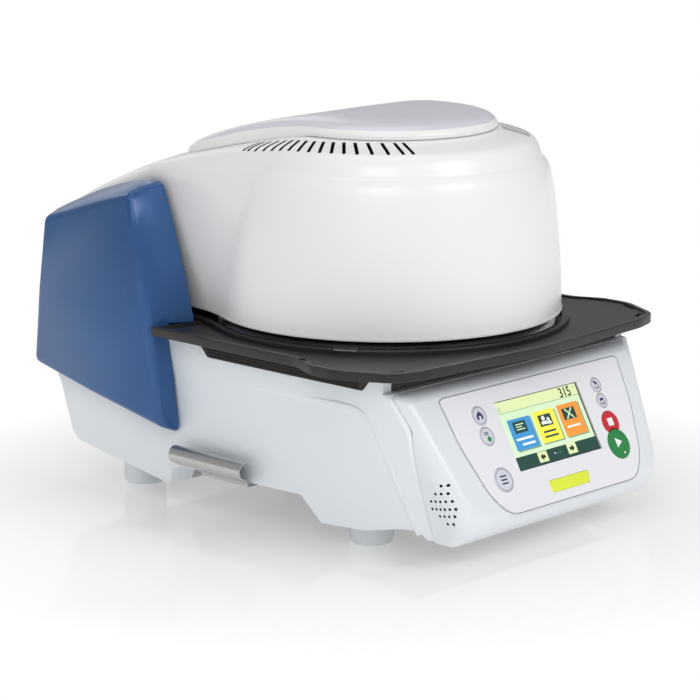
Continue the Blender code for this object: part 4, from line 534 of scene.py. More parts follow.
# Rear cover: measured rows from the seam to the rear, drawn finely
rear_shares = [(0.0150, 0.956, 0.917, 0.935, 0.755), (0.2800, 0.930, 0.938, 0.902, 0.755),
               (0.5208, 0.895, 0.972, 0.868, 0.755), (0.7300, 0.862, 0.978, 0.838, 0.755),
               (0.8852, 0.836, 0.980, 0.812, 0.755), (0.9797, 0.820, 0.972, 0.797, 0.755)]
rear_top, cover_inner_x = 0.2892, 0.1245
corner_shares = [(0, 0), (0.25, 0.02), (0.45, 0.08), (0.62, 0.22), (0.75, 0.42), (0.88, 0.78), (0.95, 1.15),
                 (0.99, 1.70), (1.0, 2.4)]
rear_rows = []
for along, centre_z, half, corner_z, low in between(rear_shares, 6):
    place_y = seam_y + along * 0.096
    row = [(min(1.0, a) * half * cover_inner_x, place_y, rear_top * (centre_z - b * (centre_z - corner_z)))
           for a, b in between(corner_shares, 3)]
    rear_rows.append(row + [(row[-1][0], place_y, low * rear_top)])
rear_rows.append([(x, y, 0.755 * rear_top) for x, y, z in rear_rows[-1]])
back = skin("rear_cover_shell", rear_rows, 0.0025, white)
stand_for(smooth(back, 40), "rear_cover")

# Side covers: blue shells with a crease from top to bottom, wider at the head than at the foot
cover_rings = [
    (0.1580, ((67.3, 76.0), (73.0, 108), (78.8, 139), (81.8, 155), (87.3, 188), (94.2, 225), (99.4, 251.6), (125, 244.6),
              (150, 237.3), (175, 229.6), (199.3, 221.7), (208.5, 165), (215.4, 105.5), (150, 91.6))),
    (0.1426, ((66.0, 69.5), (71.2, 108), (78.2, 139), (78.0, 155), (83.5, 188), (92.0, 225), (99.8, 255.0), (124, 251.2),
              (150, 244.2), (176, 236.0), (205.0, 224.6), (211.0, 165), (215.5, 102.5), (150, 86.0))),
    (0.1245, ((66.0, 67.5), (66.0, 108), (66.0, 139), (66.0, 155), (75.2, 188), (87.4, 225), (99.8, 256.8), (120, 256.4),
              (145, 250.6), (172, 242.2), (212.0, 226.4), (213.8, 165), (215.6, 101.8), (150, 84.5)))]
for hand, side in (("left", -1), ("right", 1)):
    bm = bmesh.new()
    rings = [[bm.verts.new((side * x, y / 1000, z / 1000)) for y, z in outline] for x, outline in cover_rings]
    for near, far in zip(rings, rings[1:]):
        for i, here in enumerate(near):
            j = (i + 1) % len(near)
            bm.faces.new((here, near[j], far[j], far[i]) if side < 0 else (here, far[i], far[j], near[j]))
    bm.faces.new(rings[0][::-1] if side < 0 else rings[0])
    mesh = bpy.data.meshes.new(f"side_cover_{hand}_shell")
    bm.to_mesh(mesh)
    bm.free()
    mesh.materials.append(blue)
    cover = bpy.data.objects.new(mesh.name, mesh)
    bpy.context.scene.collection.objects.link(cover)
    bevel(cover, 0.0036, 4, 20)
    step = cover.modifiers.new("wall", "SOLIDIFY")
    step.thickness = 0.0025
    step.offset = -1
    applied(cover)
    for corner in cover.data.vertices:
        corner.co.y = min(corner.co.y, 0.2160)
    under = bmesh.new()
    bmesh.ops.create_cube(under, size=1.0)
    bmesh.ops.scale(under, vec=(0.2852, 0.3, 0.1), verts=under.verts)
    bmesh.ops.translate(under, vec=(0, 0.14, 0.1028), verts=under.verts)
    carve(cover, piece_from("cover_under", under), crossed=True)
    stand_for(smooth(cover, 40), f"side_cover_{hand}")

# Flat work: slabs drawn in a plane of their own, such as the operating unit's sloping face
panel = Matrix.Translation((0, -0.185, 0.093)) @ Matrix.Rotation(math.radians(60.8), 4, "X")
cheek_lean = math.atan2(0.0518, 0.102)
cheek = Matrix.Translation((0, -0.215, 0.029)) @ Matrix.Rotation(math.pi / 2 - cheek_lean, 4, "X")
across = Matrix(((0, 0, 1, 0), (1, 0, 0, 0), (0, 1, 0, 0), (0, 0, 0, 1)))
level = Matrix.Identity(4)


def slab(name, outlines, low, high, plane, *materials, edge=0.0, steps=3):
    """A plate from outlines in a plane, between two heights over it, its rims rounded by the edge."""
    curve = bpy.data.curves.new(name, "CURVE")
    curve.dimensions = "2D"
    curve.fill_mode = "BOTH"
    curve.extrude = (high - low) / 2 - edge
    curve.bevel_depth = edge
    curve.bevel_resolution = steps
    curve.offset = -edge
    for outline in outlines:
        line = curve.splines.new("POLY")
        line.points.add(len(outline) - 1)
        for spot, (a, b) in zip(line.points, outline):
            spot.co = (a, b, 0, 1)
        line.use_cyclic_u = True
    drawn = bpy.data.objects.new(name, curve)
    bpy.context.scene.collection.objects.link(drawn)
    mesh = bpy.data.meshes.new_from_object(drawn.evaluated_get(bpy.context.evaluated_depsgraph_get()))
    bpy.data.objects.remove(drawn, do_unlink=True)
    mesh.transform(plane @ Matrix.Translation((0, 0, (low + high) / 2)))
    bm = bmesh.new()
    bm.from_mesh(mesh)
    bpy.data.meshes.remove(mesh)
    bmesh.ops.remove_doubles(bm, verts=bm.verts, dist=0.00001)
    for face in bm.faces:
        face.material_index = 0
    made = piece_from(name, bm, *materials)
    volume = bmesh.new()
    volume.from_mesh(made.data)
    if volume.calc_volume(signed=True) < 0:
        made.data.flip_normals()
    volume.free()
    return made


def ring_points(centre, radius, steps=48):
    return [tuple(p) for p in arc(centre, radius, 0, 360, steps)[:-1]]


def block(u, v, half_u, half_v):
    return [(u - half_u, v - half_v), (u + half_u, v - half_v), (u + half_u, v + half_v), (u - half_u, v + half_v)]


def soft_block(u, v, half_u, half_v, radius, steps=6):
    """A rectangle with round corners."""
    out = []
    for turn, (a, b) in enumerate(((1, 1), (-1, 1), (-1, -1), (1, -1))):
        centre = (u + a * (half_u - radius), v + b * (half_v - radius))
        out += [tuple(p) for p in arc(centre, radius, 90 * turn, 90 * turn + 90, steps)]
    return out


def flowing(points, steps=6):
    """A smooth open line through its points."""
    return [tuple(p) for p in between(points, steps)]


def grown(points, distance):
    """An anticlockwise outline moved outward by a distance."""
    out = []
    for i, here in enumerate(points):
        before = (Vector(here) - Vector(points[i - 1])).normalized()
        after = (Vector(points[(i + 1) % len(points)]) - Vector(here)).normalized()
        out_before = Vector((before.y, -before.x))
        out_after = Vector((after.y, -after.x))
        out.append(tuple(Vector(here) + (out_before + out_after) * distance / (1 + out_before.dot(out_after))))
    return out


def rounded(points, radii, steps=8):
    """A closed outline with a round of its own at each corner."""
    out = []
    for i, here in enumerate(points):
        spot = Vector(here)
        if not radii[i]:
            out.append(tuple(spot))
            continue
        back = Vector(points[i - 1]) - spot
        ahead = Vector(points[(i + 1) % len(points)]) - spot
        reach = min(radii[i] / math.tan(back.angle(ahead) / 2), back.length * 0.45, ahead.length * 0.45)
        start = spot + back.normalized() * reach
        stop = spot + ahead.normalized() * reach
        for k in range(steps + 1):
            t = k / steps
            out.append(tuple(start * (1 - t) ** 2 + spot * 2 * t * (1 - t) + stop * t * t))
    return out


def spun(points, degrees, centre):
    """Points turned about a centre in their own plane."""
    turn = Matrix.Rotation(math.radians(degrees), 2)
    return [tuple(Vector(centre) + turn @ (Vector(p) - Vector(centre))) for p in points]


# Cooling plate: a black shelf round the head, with a lip, front lobes with slots and a raised ring
plate_low, plate_top, field_drop, plate_lip = 0.1453, 0.1525, 0.0012, 0.004
half_plate = [(x * 0.171, y * 0.216) for x, y in (
    (0.722, 0.546), (0.722, 0.298), (0.936, 0.352), (0.936, -0.385), (1.000, -0.490), (1.000, -0.610),
    (0.880, -0.795), (0.735, -0.830), (0.000, -0.880))]
full_plate = half_plate + [(-x, y) for x, y in reversed(half_plate[:-1])]
side_radii = [0.001, 0.001, 0.001, 0.040, 0.022, 0.040, 0.024, 0.060]
plate_radii = side_radii + [0.150] + side_radii[::-1]
plate = slab("cooling_plate_surface", [rounded(full_plate, plate_radii)], plate_low, plate_top, level, plate_black,
             lip_brown, edge=0.0009)
field = rounded(grown(full_plate, plate_lip), [max(r - plate_lip, 0.0008) for r in plate_radii])
carve(plate, slab("plate_field", [field], plate_top - field_drop, 0.17, level))


def whole_plan(radius, rear_half, rear_y):
    half = [tuple(p) for p in head_plan(radius, rear_half, rear_y, 1)]
    return half + [(-x, y) for x, y in reversed(half) if x > 0.00001]


inner_half = 0.801 * hood_radius
ring = slab("plate_ring", [whole_plan(0.1426, inner_half + 0.0058, 0.114)], 0.1500, 0.155, level, plate_black, edge=0.0012)
carve(plate, ring, "UNION")
carve(plate, slab("plate_inside", [whole_plan(0.1368, inner_half, 0.122)], plate_top - field_drop, 0.17, level))
carve(plate, slab("plate_hole", [ring_points((0, head_centre_y), 0.116, 120)], 0.13, 0.17, level))
for side in (-1, 1):
    notch = spun(block(0, head_centre_y - 0.1385, 0.0095, 0.0092), side * 60, (0, head_centre_y))
    carve(plate, slab("ring_notch", [notch], plate_top - field_drop, 0.17, level))
    for start, stop in (((0.936, -0.398), (0.962, -0.500)), ((0.953, -0.611), (0.912, -0.685)),
                        ((0.854, -0.750), (0.784, -0.773))):
        start = Vector((side * start[0] * 0.171, start[1] * 0.216))
        stop = Vector((side * stop[0] * 0.171, stop[1] * 0.216))
        middle = (start + stop) / 2
        lean = math.degrees(math.atan2(*(stop - start).yx))
        slot = soft_block(*middle, (stop - start).length / 2, 0.0015, 0.0012)
        carve(plate, slab("lobe_slot", [spun(slot, lean, middle)], 0.13, 0.17, level))
for face in plate.data.polygons:
    out = Vector(face.center.xy) - Vector((0, head_centre_y))
    face.material_index = 1 if face.center.z > plate_top - field_drop + 0.0001 and out.length > 0.1475 else 0
stand_for(smooth(plate, 30), "cooling_plate")

# Vent grilles: perforated dark sheet in the openings under the plate, five staggered rows of holes
grille_low, grille_high, grille_rear, grille_front, grille_slope = 0.1323, 0.1447, 0.044, -0.143, 0.012
for hand, side in (("left", -1), ("right", 1)):
    corners = [(grille_rear - grille_slope, grille_low), (grille_rear, grille_high), (grille_front, grille_high),
               (grille_front + grille_slope, grille_low)]
    outlines = [rounded(corners, [0.004, 0.0003, 0.0003, 0.004])]
    for row in range(5):
        z = grille_low + 0.0019 + row * 0.00215
        count = 76
        for i in range(count):
            y = grille_front + 0.0155 + (i + 0.5 * (row % 2)) * 0.00215
            if y < grille_rear - grille_slope - 0.003 + row * 0.0018 and y > grille_front + 0.0145 - row * 0.0018:
                outlines.append(ring_points((y, z), 0.00078, 8))
    low, high = (-0.1416, -0.1403) if side < 0 else (0.1403, 0.1416)
    sheet = slab(f"vent_grille_{hand}_mesh", outlines, low, high, across, grille_black)
    stand_for(sheet, f"vent_grille_{hand}")

# Screws of the rear panel: pan heads with a cross recess
screw_y = max(corner.co.y for corner in nodes["rear_panel"].data.vertices)
for i, screw_x in enumerate((-0.112, -0.004, 0.036, 0.119)):
    facing = Matrix.Translation((screw_x, screw_y, 0.1435)) @ Matrix.Rotation(math.pi, 4, "Z") @ Matrix.Rotation(math.pi / 2, 4, "X")
    head = slab(f"panel_screw_{i}", [ring_points((0, 0), 0.0026, 28)], 0.0, 0.0016, facing, ground_steel, edge=0.0006)
    for half_u, half_v in ((0.0016, 0.0003), (0.0003, 0.0016)):
        # The cross recess takes the dark moulding colour: painted shade in the recess
        carve(head, slab("cross_recess", [block(0, 0, half_u, half_v)], 0.0008, 0.004, facing, dark))
    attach(smooth(head, 30), nodes["rear_panel"]["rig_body"])

# Casing: one moulding whose flanks draw in towards the bench and most at the front, with an arched recess
def flank(y, z):
    """Half the casing's width at a place along it and a height."""
    forward = min(1.3, max(0.0, (-y - 0.050) / 0.130))
    return 0.142 - (0.004 + 0.0268 * forward ** 1.5) * (0.145 - z) / 0.124


def finely_cut(bm):
    """Cut a mesh along and up, so that its flat sides can be bent."""
    stops = [(1, -0.195 + 0.0125 * i) for i in range(15)] + [(2, 0.030 + 0.016 * i) for i in range(7)]
    for axis, stop in stops:
        way = Vector([int(axis == k) for k in range(3)])
        bmesh.ops.bisect_plane(bm, geom=bm.verts[:] + bm.edges[:] + bm.faces[:], plane_co=way * stop, plane_no=way)


def casing_block(name, outline, grow, edge=0.0):
    """An outline carried across the casing, its sides bent to the flanks."""
    made = slab(name, [outline], -0.142, 0.142, across, casing_white, edge=edge)
    bm = bmesh.new()
    bm.from_mesh(made.data)
    finely_cut(bm)
    for corner in bm.verts:
        half = abs(corner.co.x) - 0.142 + flank(corner.co.y, corner.co.z) + grow
        corner.co.x = math.copysign(half, corner.co.x)
    bm.to_mesh(made.data)
    bm.free()
    return made


casing_corners = [
    (-0.1499, 0.1450), (-0.1499, 0.1330), (-0.1545, 0.1323), (-0.1700, 0.1060), (-0.1717, 0.0671),
    (-0.1735, 0.0426), (-0.1767, 0.0207), (-0.1705, 0.0207), (-0.1650, 0.0268), (-0.1500, 0.0268),
    (-0.1190, 0.0208), (-0.0810, 0.0206), (-0.0630, 0.0400), (0.0689, 0.0380), (0.0769, 0.0352),
    (0.0829, 0.0210), (0.1901, 0.0380), (0.1970, 0.0450), (0.2090, 0.0840), (0.2143, 0.0936),
    (0.2095, 0.0968), (0.2095, 0.1450)]
casing_rounds = [0, 0, 0, 0.030, 0.060, 0.060, 0.005, 0, 0.004, 0.010, 0.012, 0, 0.006, 0.010, 0.006, 0, 0.010,
                 0.008, 0.012, 0, 0, 0]
casing = casing_block("base_housing_shell", rounded(casing_corners, casing_rounds, 5), 0, edge=0.0026)
arch_line = flowing([(0.010, 0.1185), (-0.050, 0.1185), (-0.100, 0.1185), (-0.1180, 0.1180), (-0.1270, 0.1158),
                     (-0.1335, 0.1110), (-0.1390, 0.1030), (-0.1435, 0.0910), (-0.1490, 0.0750),
                     (-0.1545, 0.0580), (-0.1600, 0.0410), (-0.1650, 0.0250), (-0.1690, 0.0120)], 5)
for side in (-1, 1):
    arch = slab("arch", [arch_line + [(0.010, 0.012)]], 0, 0.024, across, casing_white, edge=0.0045, steps=5)
    bm = bmesh.new()
    bm.from_mesh(arch.data)
    finely_cut(bm)
    for corner in bm.verts:
        depth = 0.0026 * min(1.0, -corner.co.y / 0.090)
        corner.co.x = side * (flank(corner.co.y, corner.co.z) - depth + corner.co.x / 2)
    if side < 0:
        bmesh.ops.reverse_faces(bm, faces=bm.faces[:])
    bm.to_mesh(arch.data)
    bm.free()
    carve(casing, arch)
cavity = [
    (-0.1469, 0.1420), (-0.1469, 0.1310), (-0.1520, 0.1300), (-0.1667, 0.1050), (-0.1687, 0.0670), (-0.1705, 0.0426),
    (-0.1712, 0.0300), (-0.1190, 0.0240), (-0.0795, 0.0238), (-0.0610, 0.0430), (0.0700, 0.0410), (0.0795, 0.0375),
    (0.0855, 0.0245), (0.1885, 0.0410), (0.1945, 0.0470), (0.2060, 0.0850), (0.2105, 0.0925), (0.2065, 0.0960),
    (0.2065, 0.1420)]
carve(casing, casing_block("casing_cavity", cavity, -0.0045))
carve(casing, slab("rear_opening", [block(0, 0.211, 0.136, 0.015)], 0.1035, 0.142, level))
grille_way = [(grille_rear - grille_slope, 0.132), (grille_rear, 0.145), (grille_rear, 0.155), (grille_front, 0.155),
              (grille_front, 0.145), (grille_front + grille_slope, 0.132)]
grille_way = rounded(grille_way, [0.004, 0.0003, 0.0003, 0.0003, 0.0003, 0.004])
for side in (-1, 1):
    low, high = sorted((side * 0.134, side * 0.152))
    carve(casing, slab("grille_opening", [grille_way], low, high, across))
carve(casing, slab("unit_window", [block(-0.183, 0.0835, 0.0325, 0.0385)], -0.108, 0.108, across))
carve(casing, slab("chamber_hole", [ring_points((0, head_centre_y), 0.0986, 90)], 0.135, 0.155, level))
floor_line = [(-0.1600, 0.0250), (-0.1190, 0.0208), (-0.0810, 0.0206), (-0.0630, 0.0400), (0.0689, 0.0380),
              (0.0769, 0.0352), (0.0829, 0.0210), (0.1880, 0.0377)]
floor_way = [(y, z - 0.010) for y, z in floor_line] + [(y, z + 0.0055) for y, z in reversed(floor_line)]
carve(casing, slab("floor_opening", [floor_way], -0.112, 0.112, across))
# Painted shade: the casing's front strip under the cooling plate takes the dark moulding colour, standing for the
# plate's shadow on it
casing.data.materials.append(dark)
painted_shade_strip_half = 0.130
bm = bmesh.new()
bm.from_mesh(casing.data)
for side in (-1, 1):
    bmesh.ops.bisect_plane(bm, geom=bm.verts[:] + bm.edges[:] + bm.faces[:], plane_co=(side * painted_shade_strip_half, 0, 0),
                           plane_no=(1, 0, 0))
bm.to_mesh(casing.data)
bm.free()
for face in casing.data.polygons:
    place_x, place_y, place_z = face.center
    if place_y < -0.1497 and 0.1335 < place_z < 0.1448 and abs(place_x) < painted_shade_strip_half and face.normal.y < -0.9:
        face.material_index = 1
stand_for(weighted(smooth(casing, 30)), "base_housing")

# Ridge along the arch: a soft bead that rises out of the flank and catches the light
for hand, side in (("left", -1), ("right", 1)):
    curve = bpy.data.curves.new("arch_ridge", "CURVE")
    curve.dimensions = "3D"
    curve.bevel_depth = 0.0022
    curve.bevel_resolution = 5
    line = curve.splines.new("POLY")
    course = [(y, z) for y, z in arch_line if y < -0.030 and z > 0.0225]
    line.points.add(len(course) - 1)
    for spot, (y, z) in zip(line.points, course):
        swell = min(1.0, 0.05 + max(0.0, (-y - 0.035) / 0.075))
        spot.co = (side * (flank(y, z) - 0.0012), y, z, 1)
        spot.radius = swell
    drawn = bpy.data.objects.new("arch_ridge", curve)
    bpy.context.scene.collection.objects.link(drawn)
    mesh = bpy.data.meshes.new_from_object(drawn.evaluated_get(bpy.context.evaluated_depsgraph_get()))
    bpy.data.objects.remove(drawn, do_unlink=True)
    bm = bmesh.new()
    bm.from_mesh(mesh)
    bmesh.ops.holes_fill(bm, edges=bm.edges, sides=0)
    for face in bm.faces:
        face.material_index = 0
    ridge = smooth(piece_from(f"arch_ridge_{hand}", bm, casing_white), 50)
    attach(ridge, nodes["base_housing"]["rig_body"])

bottom = refined("base_plate", zinc)
for corner in bottom.data.vertices:
    corner.co.x = max(-0.1117, min(0.1117, corner.co.x))
    corner.co.y = max(-0.1590, corner.co.y)

# Operating unit: a body drawn in towards the bench like the casing, its face standing up to a soft edge
def unit_side(z):
    return 0.1416 - 0.2403 * (0.145 - z)


def unit_section(depth, draw):
    """The unit's outline at a depth behind its face, drawn in by an amount, as points on the face's plane."""
    foot = -0.0663 + 0.073 * depth + 0.8 * draw
    top = 0.0464 - 0.559 * depth - 0.7 * draw
    corners = [(side * (unit_side(0.093 + 0.873 * v + 0.488 * depth) - draw), v)
               for side, v in ((-1, top), (-1, foot), (1, foot), (1, top))]
    low_round = 0.034 + 0.030 * max(depth, -0.0274) / 0.0274
    top_round = max(0.0025, 0.013 + 0.95 * depth)
    return rounded(corners, [max(0.002, r - draw / 2) for r in (top_round, low_round, low_round, top_round)], 12)


sections = [(-0.017 * (1 - math.cos(math.radians(6 * i))), 0.014 * (1 - math.sin(math.radians(6 * i)))) for i in range(16)]
sections += [(-0.0274, 0), (-0.0400, 0), (-0.0700, 0)]
bm = bmesh.new()
rings = [[bm.verts.new(panel @ Vector((u, v, depth))) for u, v in unit_section(depth, draw)] for depth, draw in sections]
for near, far in zip(rings, rings[1:]):
    for i, here in enumerate(near):
        j = (i + 1) % len(near)
        bm.faces.new((here, near[j], far[j], far[i]))
bm.faces.new(rings[0])
bm.faces.new(rings[-1][::-1])
housing = piece_from("control_housing_shell", bm, unit_white)
carve(housing, slab("under_unit", [block(0, -0.2, 0.2, 0.1)], -0.05, 0.0200, level))
behind = [(0, 0.150), (-0.1503, 0.1500), (-0.1503, 0.1334), (-0.1549, 0.1326), (-0.1704, 0.1061), (-0.1721, 0.0671), (-0.1739, 0.0426),
          (-0.1771, 0.0207), (-0.1771, 0.0), (0, 0)]
carve(housing, slab("behind_unit", [behind], -0.16, 0.16, across))
applied(bevel(housing, 0.0009, 2, 48))
pocket = [(side * (unit_side(0.093 + 0.873 * v) - 0.0170), v)
          for side, v in ((-1, 0.0380), (-1, -0.0500), (1, -0.0500), (1, 0.0380))]
carve(housing, slab("unit_pocket", [rounded(pocket, [0.004, 0.006, 0.006, 0.004])], -0.030, -0.0026, panel))
speaker_rows = [(-0.1907, -0.1950, 0.0680, 2), (-0.1859, -0.1955, 0.0620, 3), (-0.1805, -0.1985, 0.0560, 5),
                (-0.1805, -0.2010, 0.0500, 6), (-0.1870, -0.2005, 0.0445, 4), (-0.1935, -0.1990, 0.0385, 2)]
speaker_holes = []
for start_y, stop_y, z, count in speaker_rows:
    for i in range(count):
        y = start_y + (stop_y - start_y) * i / (count - 1)
        speaker_holes.append(ring_points((y, z + 0.16 * (-0.193 - y)), 0.00112, 16))
# The walls of the speaker holes take the dark moulding colour: painted shade in the holes
carve(housing, slab("speaker_holes", speaker_holes, -0.150, -0.1045, across, dark))
cone = slab("speaker_cone", [ring_points((-0.189, 0.053), 0.0130, 40)], -0.1020, -0.0980, across, dark)
stand_for(cone, "speaker")

face_u = 0.0045
overlay_half = rounded([(0.0990, 0.0362), (0.1040, 0.0345), (0.1000, -0.0030), (0.0885, -0.0440), (0.0745, -0.0612),
                        (0.0, -0.0632), (0.0, 0.0362)], [0.006, 0.007, 0.090, 0.050, 0.045, 0, 0], 10)
overlay_half = [p for p in overlay_half if p[0] > 0.0001]
overlay_outline = [(face_u + u, v) for u, v in overlay_half] + [(face_u - u, v) for u, v in overlay_half[::-1]]
if sum(a[0] * b[1] - b[0] * a[1] for a, b in zip(overlay_outline, overlay_outline[1:])) < 0:
    overlay_outline.reverse()
display_place = (face_u, -0.0042, 0.0478, 0.0272)
keys = {"key_home": (-0.0638, 0.01659, 0.0072), "key_power_save": (-0.0638, 0.00020, 0.0072),
        "key_program": (-0.0638, -0.03420, 0.0093), "key_head_open": (0.0728, 0.01700, 0.0058),
        "key_head_close": (0.0728, 0.00401, 0.0058), "key_stop": (0.0728, -0.01408, 0.0092),
        "key_start": (0.0728, -0.03182, 0.0118)}
screen_u, screen_v, screen_half_u, screen_half_v = display_place
screen_way = block(screen_u, screen_v, screen_half_u + 0.0003, screen_half_v + 0.0003)
bar_outline = rounded([(face_u + 0.0234, -0.0444), (face_u - 0.0230, -0.0444), (face_u - 0.0228, -0.0536),
                       (face_u + 0.0206, -0.0536)], [0.0016] * 4)
key_wells = [ring_points((u, v), radius + 0.0004) for u, v, radius in keys.values()]
carve(housing, slab("overlay_recess", [grown(overlay_outline, 0.0003)], -0.0005, 0.01, panel))
for outline in [screen_way, grown(bar_outline, 0.0003)] + key_wells:
    carve(housing, slab("face_opening", [outline], -0.012, 0.010, panel))
stand_for(weighted(smooth(housing, 38)), "control_housing")

# Keypad foil with its thin printed border, cut out for the screen, the light and the keys
foil = finish("keypad_foil", "#F3F3F7", 0.34, Coat_Weight=0.15)
grain(foil, 2600, 0.08, 0.00003)
mottle(foil, 8, "#F1F1F6", "#F5F5F8")
print_grey = finish("printed_border", "#6E7080", 0.45)
print_blue = finish("printed_dark_blue", "#2B3160", 0.45)
print_white = finish("printed_white", "#FFFFFF", 0.45)
print_green = finish("printed_green", "#2F8F57", 0.45)
for material in (print_grey, print_blue, print_white, print_green):
    grain(material, 3000, 0.05, 0.00002)
overlay = slab("keypad_overlay_foil", [overlay_outline], -0.0002, 0.0004, panel, foil)
for outline in [screen_way, grown(bar_outline, 0.0003)] + key_wells:
    carve(overlay, slab("foil_opening", [outline], -0.012, 0.010, panel))
stand_for(overlay, "keypad_overlay")


def printed(name, outlines, lift, material, node, plane=panel):
    """A thin print that rides with a node's body."""
    made = slab(name, outlines, lift, lift + 0.00004, plane, material)
    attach(made, nodes[node]["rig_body"])
    return made


printed("foil_border", [grown(overlay_outline, -0.0002), grown(overlay_outline, -0.0008)], 0.0004, print_grey,
        "keypad_overlay")

# Screen: a self-lit picture of our own, a header with a number, three tiles and a footer with arrows
def lit(name, code, strength=0.30):
    made = finish(name, code, 0.30, Emission_Color=colour(code), Emission_Strength=strength)
    grain(made, 4000, 0.03, 0.00001)
    return made


screen_pale = lit("screen_pale_green", "#D3EBC4")
screen_head = lit("screen_header", "#DDE9B0")
screen_blue = lit("screen_tile_blue", "#3E93CE")
screen_yellow = lit("screen_tile_yellow", "#F3E94A")
screen_orange = lit("screen_tile_orange", "#F0963A")
screen_dark = lit("screen_dark_green", "#1F4A40", 0.15)
screen_ink = lit("screen_ink", "#25301F", 0.05)
screen_shade = lit("screen_shade", "#8DB193", 0.10)
screen_white = lit("screen_white", "#F2F6EE")
bezel_and_painted_shade = finish("screen_bezel_and_painted_shade", "#20262B", 0.40)
grain(bezel_and_painted_shade, 2500, 0.10, 0.00003)


def on_screen(*corners):
    """Places on the screen from shares of it, across from the left and down from the top."""
    return [(screen_u + screen_half_u * (2 * a - 1), screen_v + screen_half_v * (1 - 2 * b)) for a, b in corners]


def patch(left, top, right, bottom):
    return on_screen((left, bottom), (right, bottom), (right, top), (left, top))


glass_top = -0.0010
# The dark module shows in a thin margin round the pale ground, widest at the right: the display's dark bezel, and
# painted shade of the frame over the screen
module = slab("display_module_glass", [block(*display_place)], -0.0070, glass_top, panel, bezel_and_painted_shade)
rim = slab("display_frame", [block(screen_u, screen_v, screen_half_u + 0.003, screen_half_v + 0.003)], -0.0070, -0.0029,
           panel, bezel_and_painted_shade)
stand_for(carve(module, rim, "UNION"), "display_module")
tiles = [(0.068, 0.280, 0.336, 0.728), (0.378, 0.260, 0.632, 0.720), (0.676, 0.252, 0.932, 0.720)]
shadows = [patch(a + 0.012, b + 0.02, c + 0.016, d + 0.022) for a, b, c, d in tiles]
icon_squares = [patch(u - 0.076, v - 0.083, u + 0.076, v + 0.083) for u, v in ((0.193, 0.406), (0.500, 0.405), (0.796, 0.399))]
art = [
    ("ground", [patch(0.004, 0.004, 0.988, 0.996)], 0, screen_pale), ("header", [patch(0.004, 0.004, 0.988, 0.165)], 1, screen_head),
    ("header_line", [patch(0.004, 0.165, 0.988, 0.173)], 1, screen_shade), ("shadows", shadows, 1, screen_shade),
    ("footer", [patch(0.004, 0.808, 0.988, 0.996)], 1, screen_dark), ("tile_blue", [patch(*tiles[0])], 2, screen_blue),
    ("tile_yellow", [patch(*tiles[1])], 2, screen_yellow), ("tile_orange", [patch(*tiles[2])], 2, screen_orange),
    ("icon_squares", icon_squares, 3, screen_dark),
    ("keys", [patch(0.265, 0.815, 0.375, 0.965), patch(0.622, 0.808, 0.732, 0.958)], 2, screen_head),
    ("arrows", [on_screen((0.290, 0.890), (0.322, 0.945), (0.322, 0.912), (0.350, 0.912), (0.350, 0.868), (0.322, 0.868),
                          (0.322, 0.835)),
                on_screen((0.707, 0.883), (0.675, 0.828), (0.675, 0.861), (0.647, 0.861), (0.647, 0.905), (0.675, 0.905),
                          (0.675, 0.938))], 3, screen_ink),
    ("dots", [ring_points(p, 0.00062, 12) for p in on_screen((0.466, 0.888))], 2, screen_white),
    ("dim_dots", [ring_points(p, 0.00048, 12) for p in on_screen((0.500, 0.888), (0.531, 0.888))], 2, screen_shade),
    ("home", [on_screen((0.020, 0.100), (0.020, 0.140), (0.048, 0.140), (0.048, 0.100), (0.034, 0.062)),
              on_screen((0.024, 0.104), (0.024, 0.132), (0.044, 0.132), (0.044, 0.104), (0.034, 0.076))], 2, screen_shade),
    ("degree", [ring_points(*on_screen((0.955, 0.048)), 0.00085, 14), ring_points(*on_screen((0.955, 0.048)), 0.00050, 14)], 2,
     screen_shade),
    ("blue_lines", [patch(0.100, 0.560, 0.300, 0.590), patch(0.150, 0.640, 0.300, 0.670)], 3, screen_white),
    ("yellow_lines", [patch(0.430, 0.555, 0.580, 0.582), patch(0.425, 0.625, 0.590, 0.652)], 3, screen_dark),
    ("orange_line", [patch(0.720, 0.570, 0.880, 0.597)], 3, screen_white),
    ("blue_icon", [patch(0.145, 0.360, 0.242, 0.375), patch(0.145, 0.395, 0.215, 0.410), patch(0.145, 0.432, 0.242, 0.447)],
     4, screen_pale),
    ("yellow_icon", [ring_points(*on_screen((0.480, 0.372)), 0.0019, 16), ring_points(*on_screen((0.535, 0.400)), 0.0015, 16),
                     patch(0.446, 0.415, 0.512, 0.460), patch(0.517, 0.430, 0.560, 0.468)], 4, screen_white),
    ("orange_icon", [spun(patch(0.737, 0.388, 0.855, 0.410), 45, on_screen((0.796, 0.399))[0])], 4, screen_pale),
    ("orange_cross", [spun(patch(0.737, 0.388, 0.855, 0.410), -45, on_screen((0.796, 0.399))[0])], 5, screen_pale)]
for name, outlines, layer, material in art:
    printed("screen_" + name, outlines, glass_top + 0.00005 * layer, material, "display_module")
digits = bpy.data.curves.new("screen_number", "FONT")
digits.body = "315"
digits.size = 0.0108
digits.align_x = "CENTER"
digits.align_y = "CENTER"
digits.extrude = 0.00002
digits.offset = 0.00016
drawn = bpy.data.objects.new("screen_number", digits)
bpy.context.scene.collection.objects.link(drawn)
number_mesh = bpy.data.meshes.new_from_object(drawn.evaluated_get(bpy.context.evaluated_depsgraph_get()))
bpy.data.objects.remove(drawn, do_unlink=True)
number_place = on_screen((0.838, 0.098))[0]
number_mesh.transform(panel @ Matrix.Translation((*number_place, glass_top + 0.00013)) @ Matrix.Diagonal((0.86, 1, 1, 1)))
number_mesh.materials.clear()
number_mesh.materials.append(screen_ink)
number = bpy.data.objects.new("screen_number", number_mesh)
bpy.context.scene.collection.objects.link(number)
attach(number, nodes["display_module"]["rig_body"])
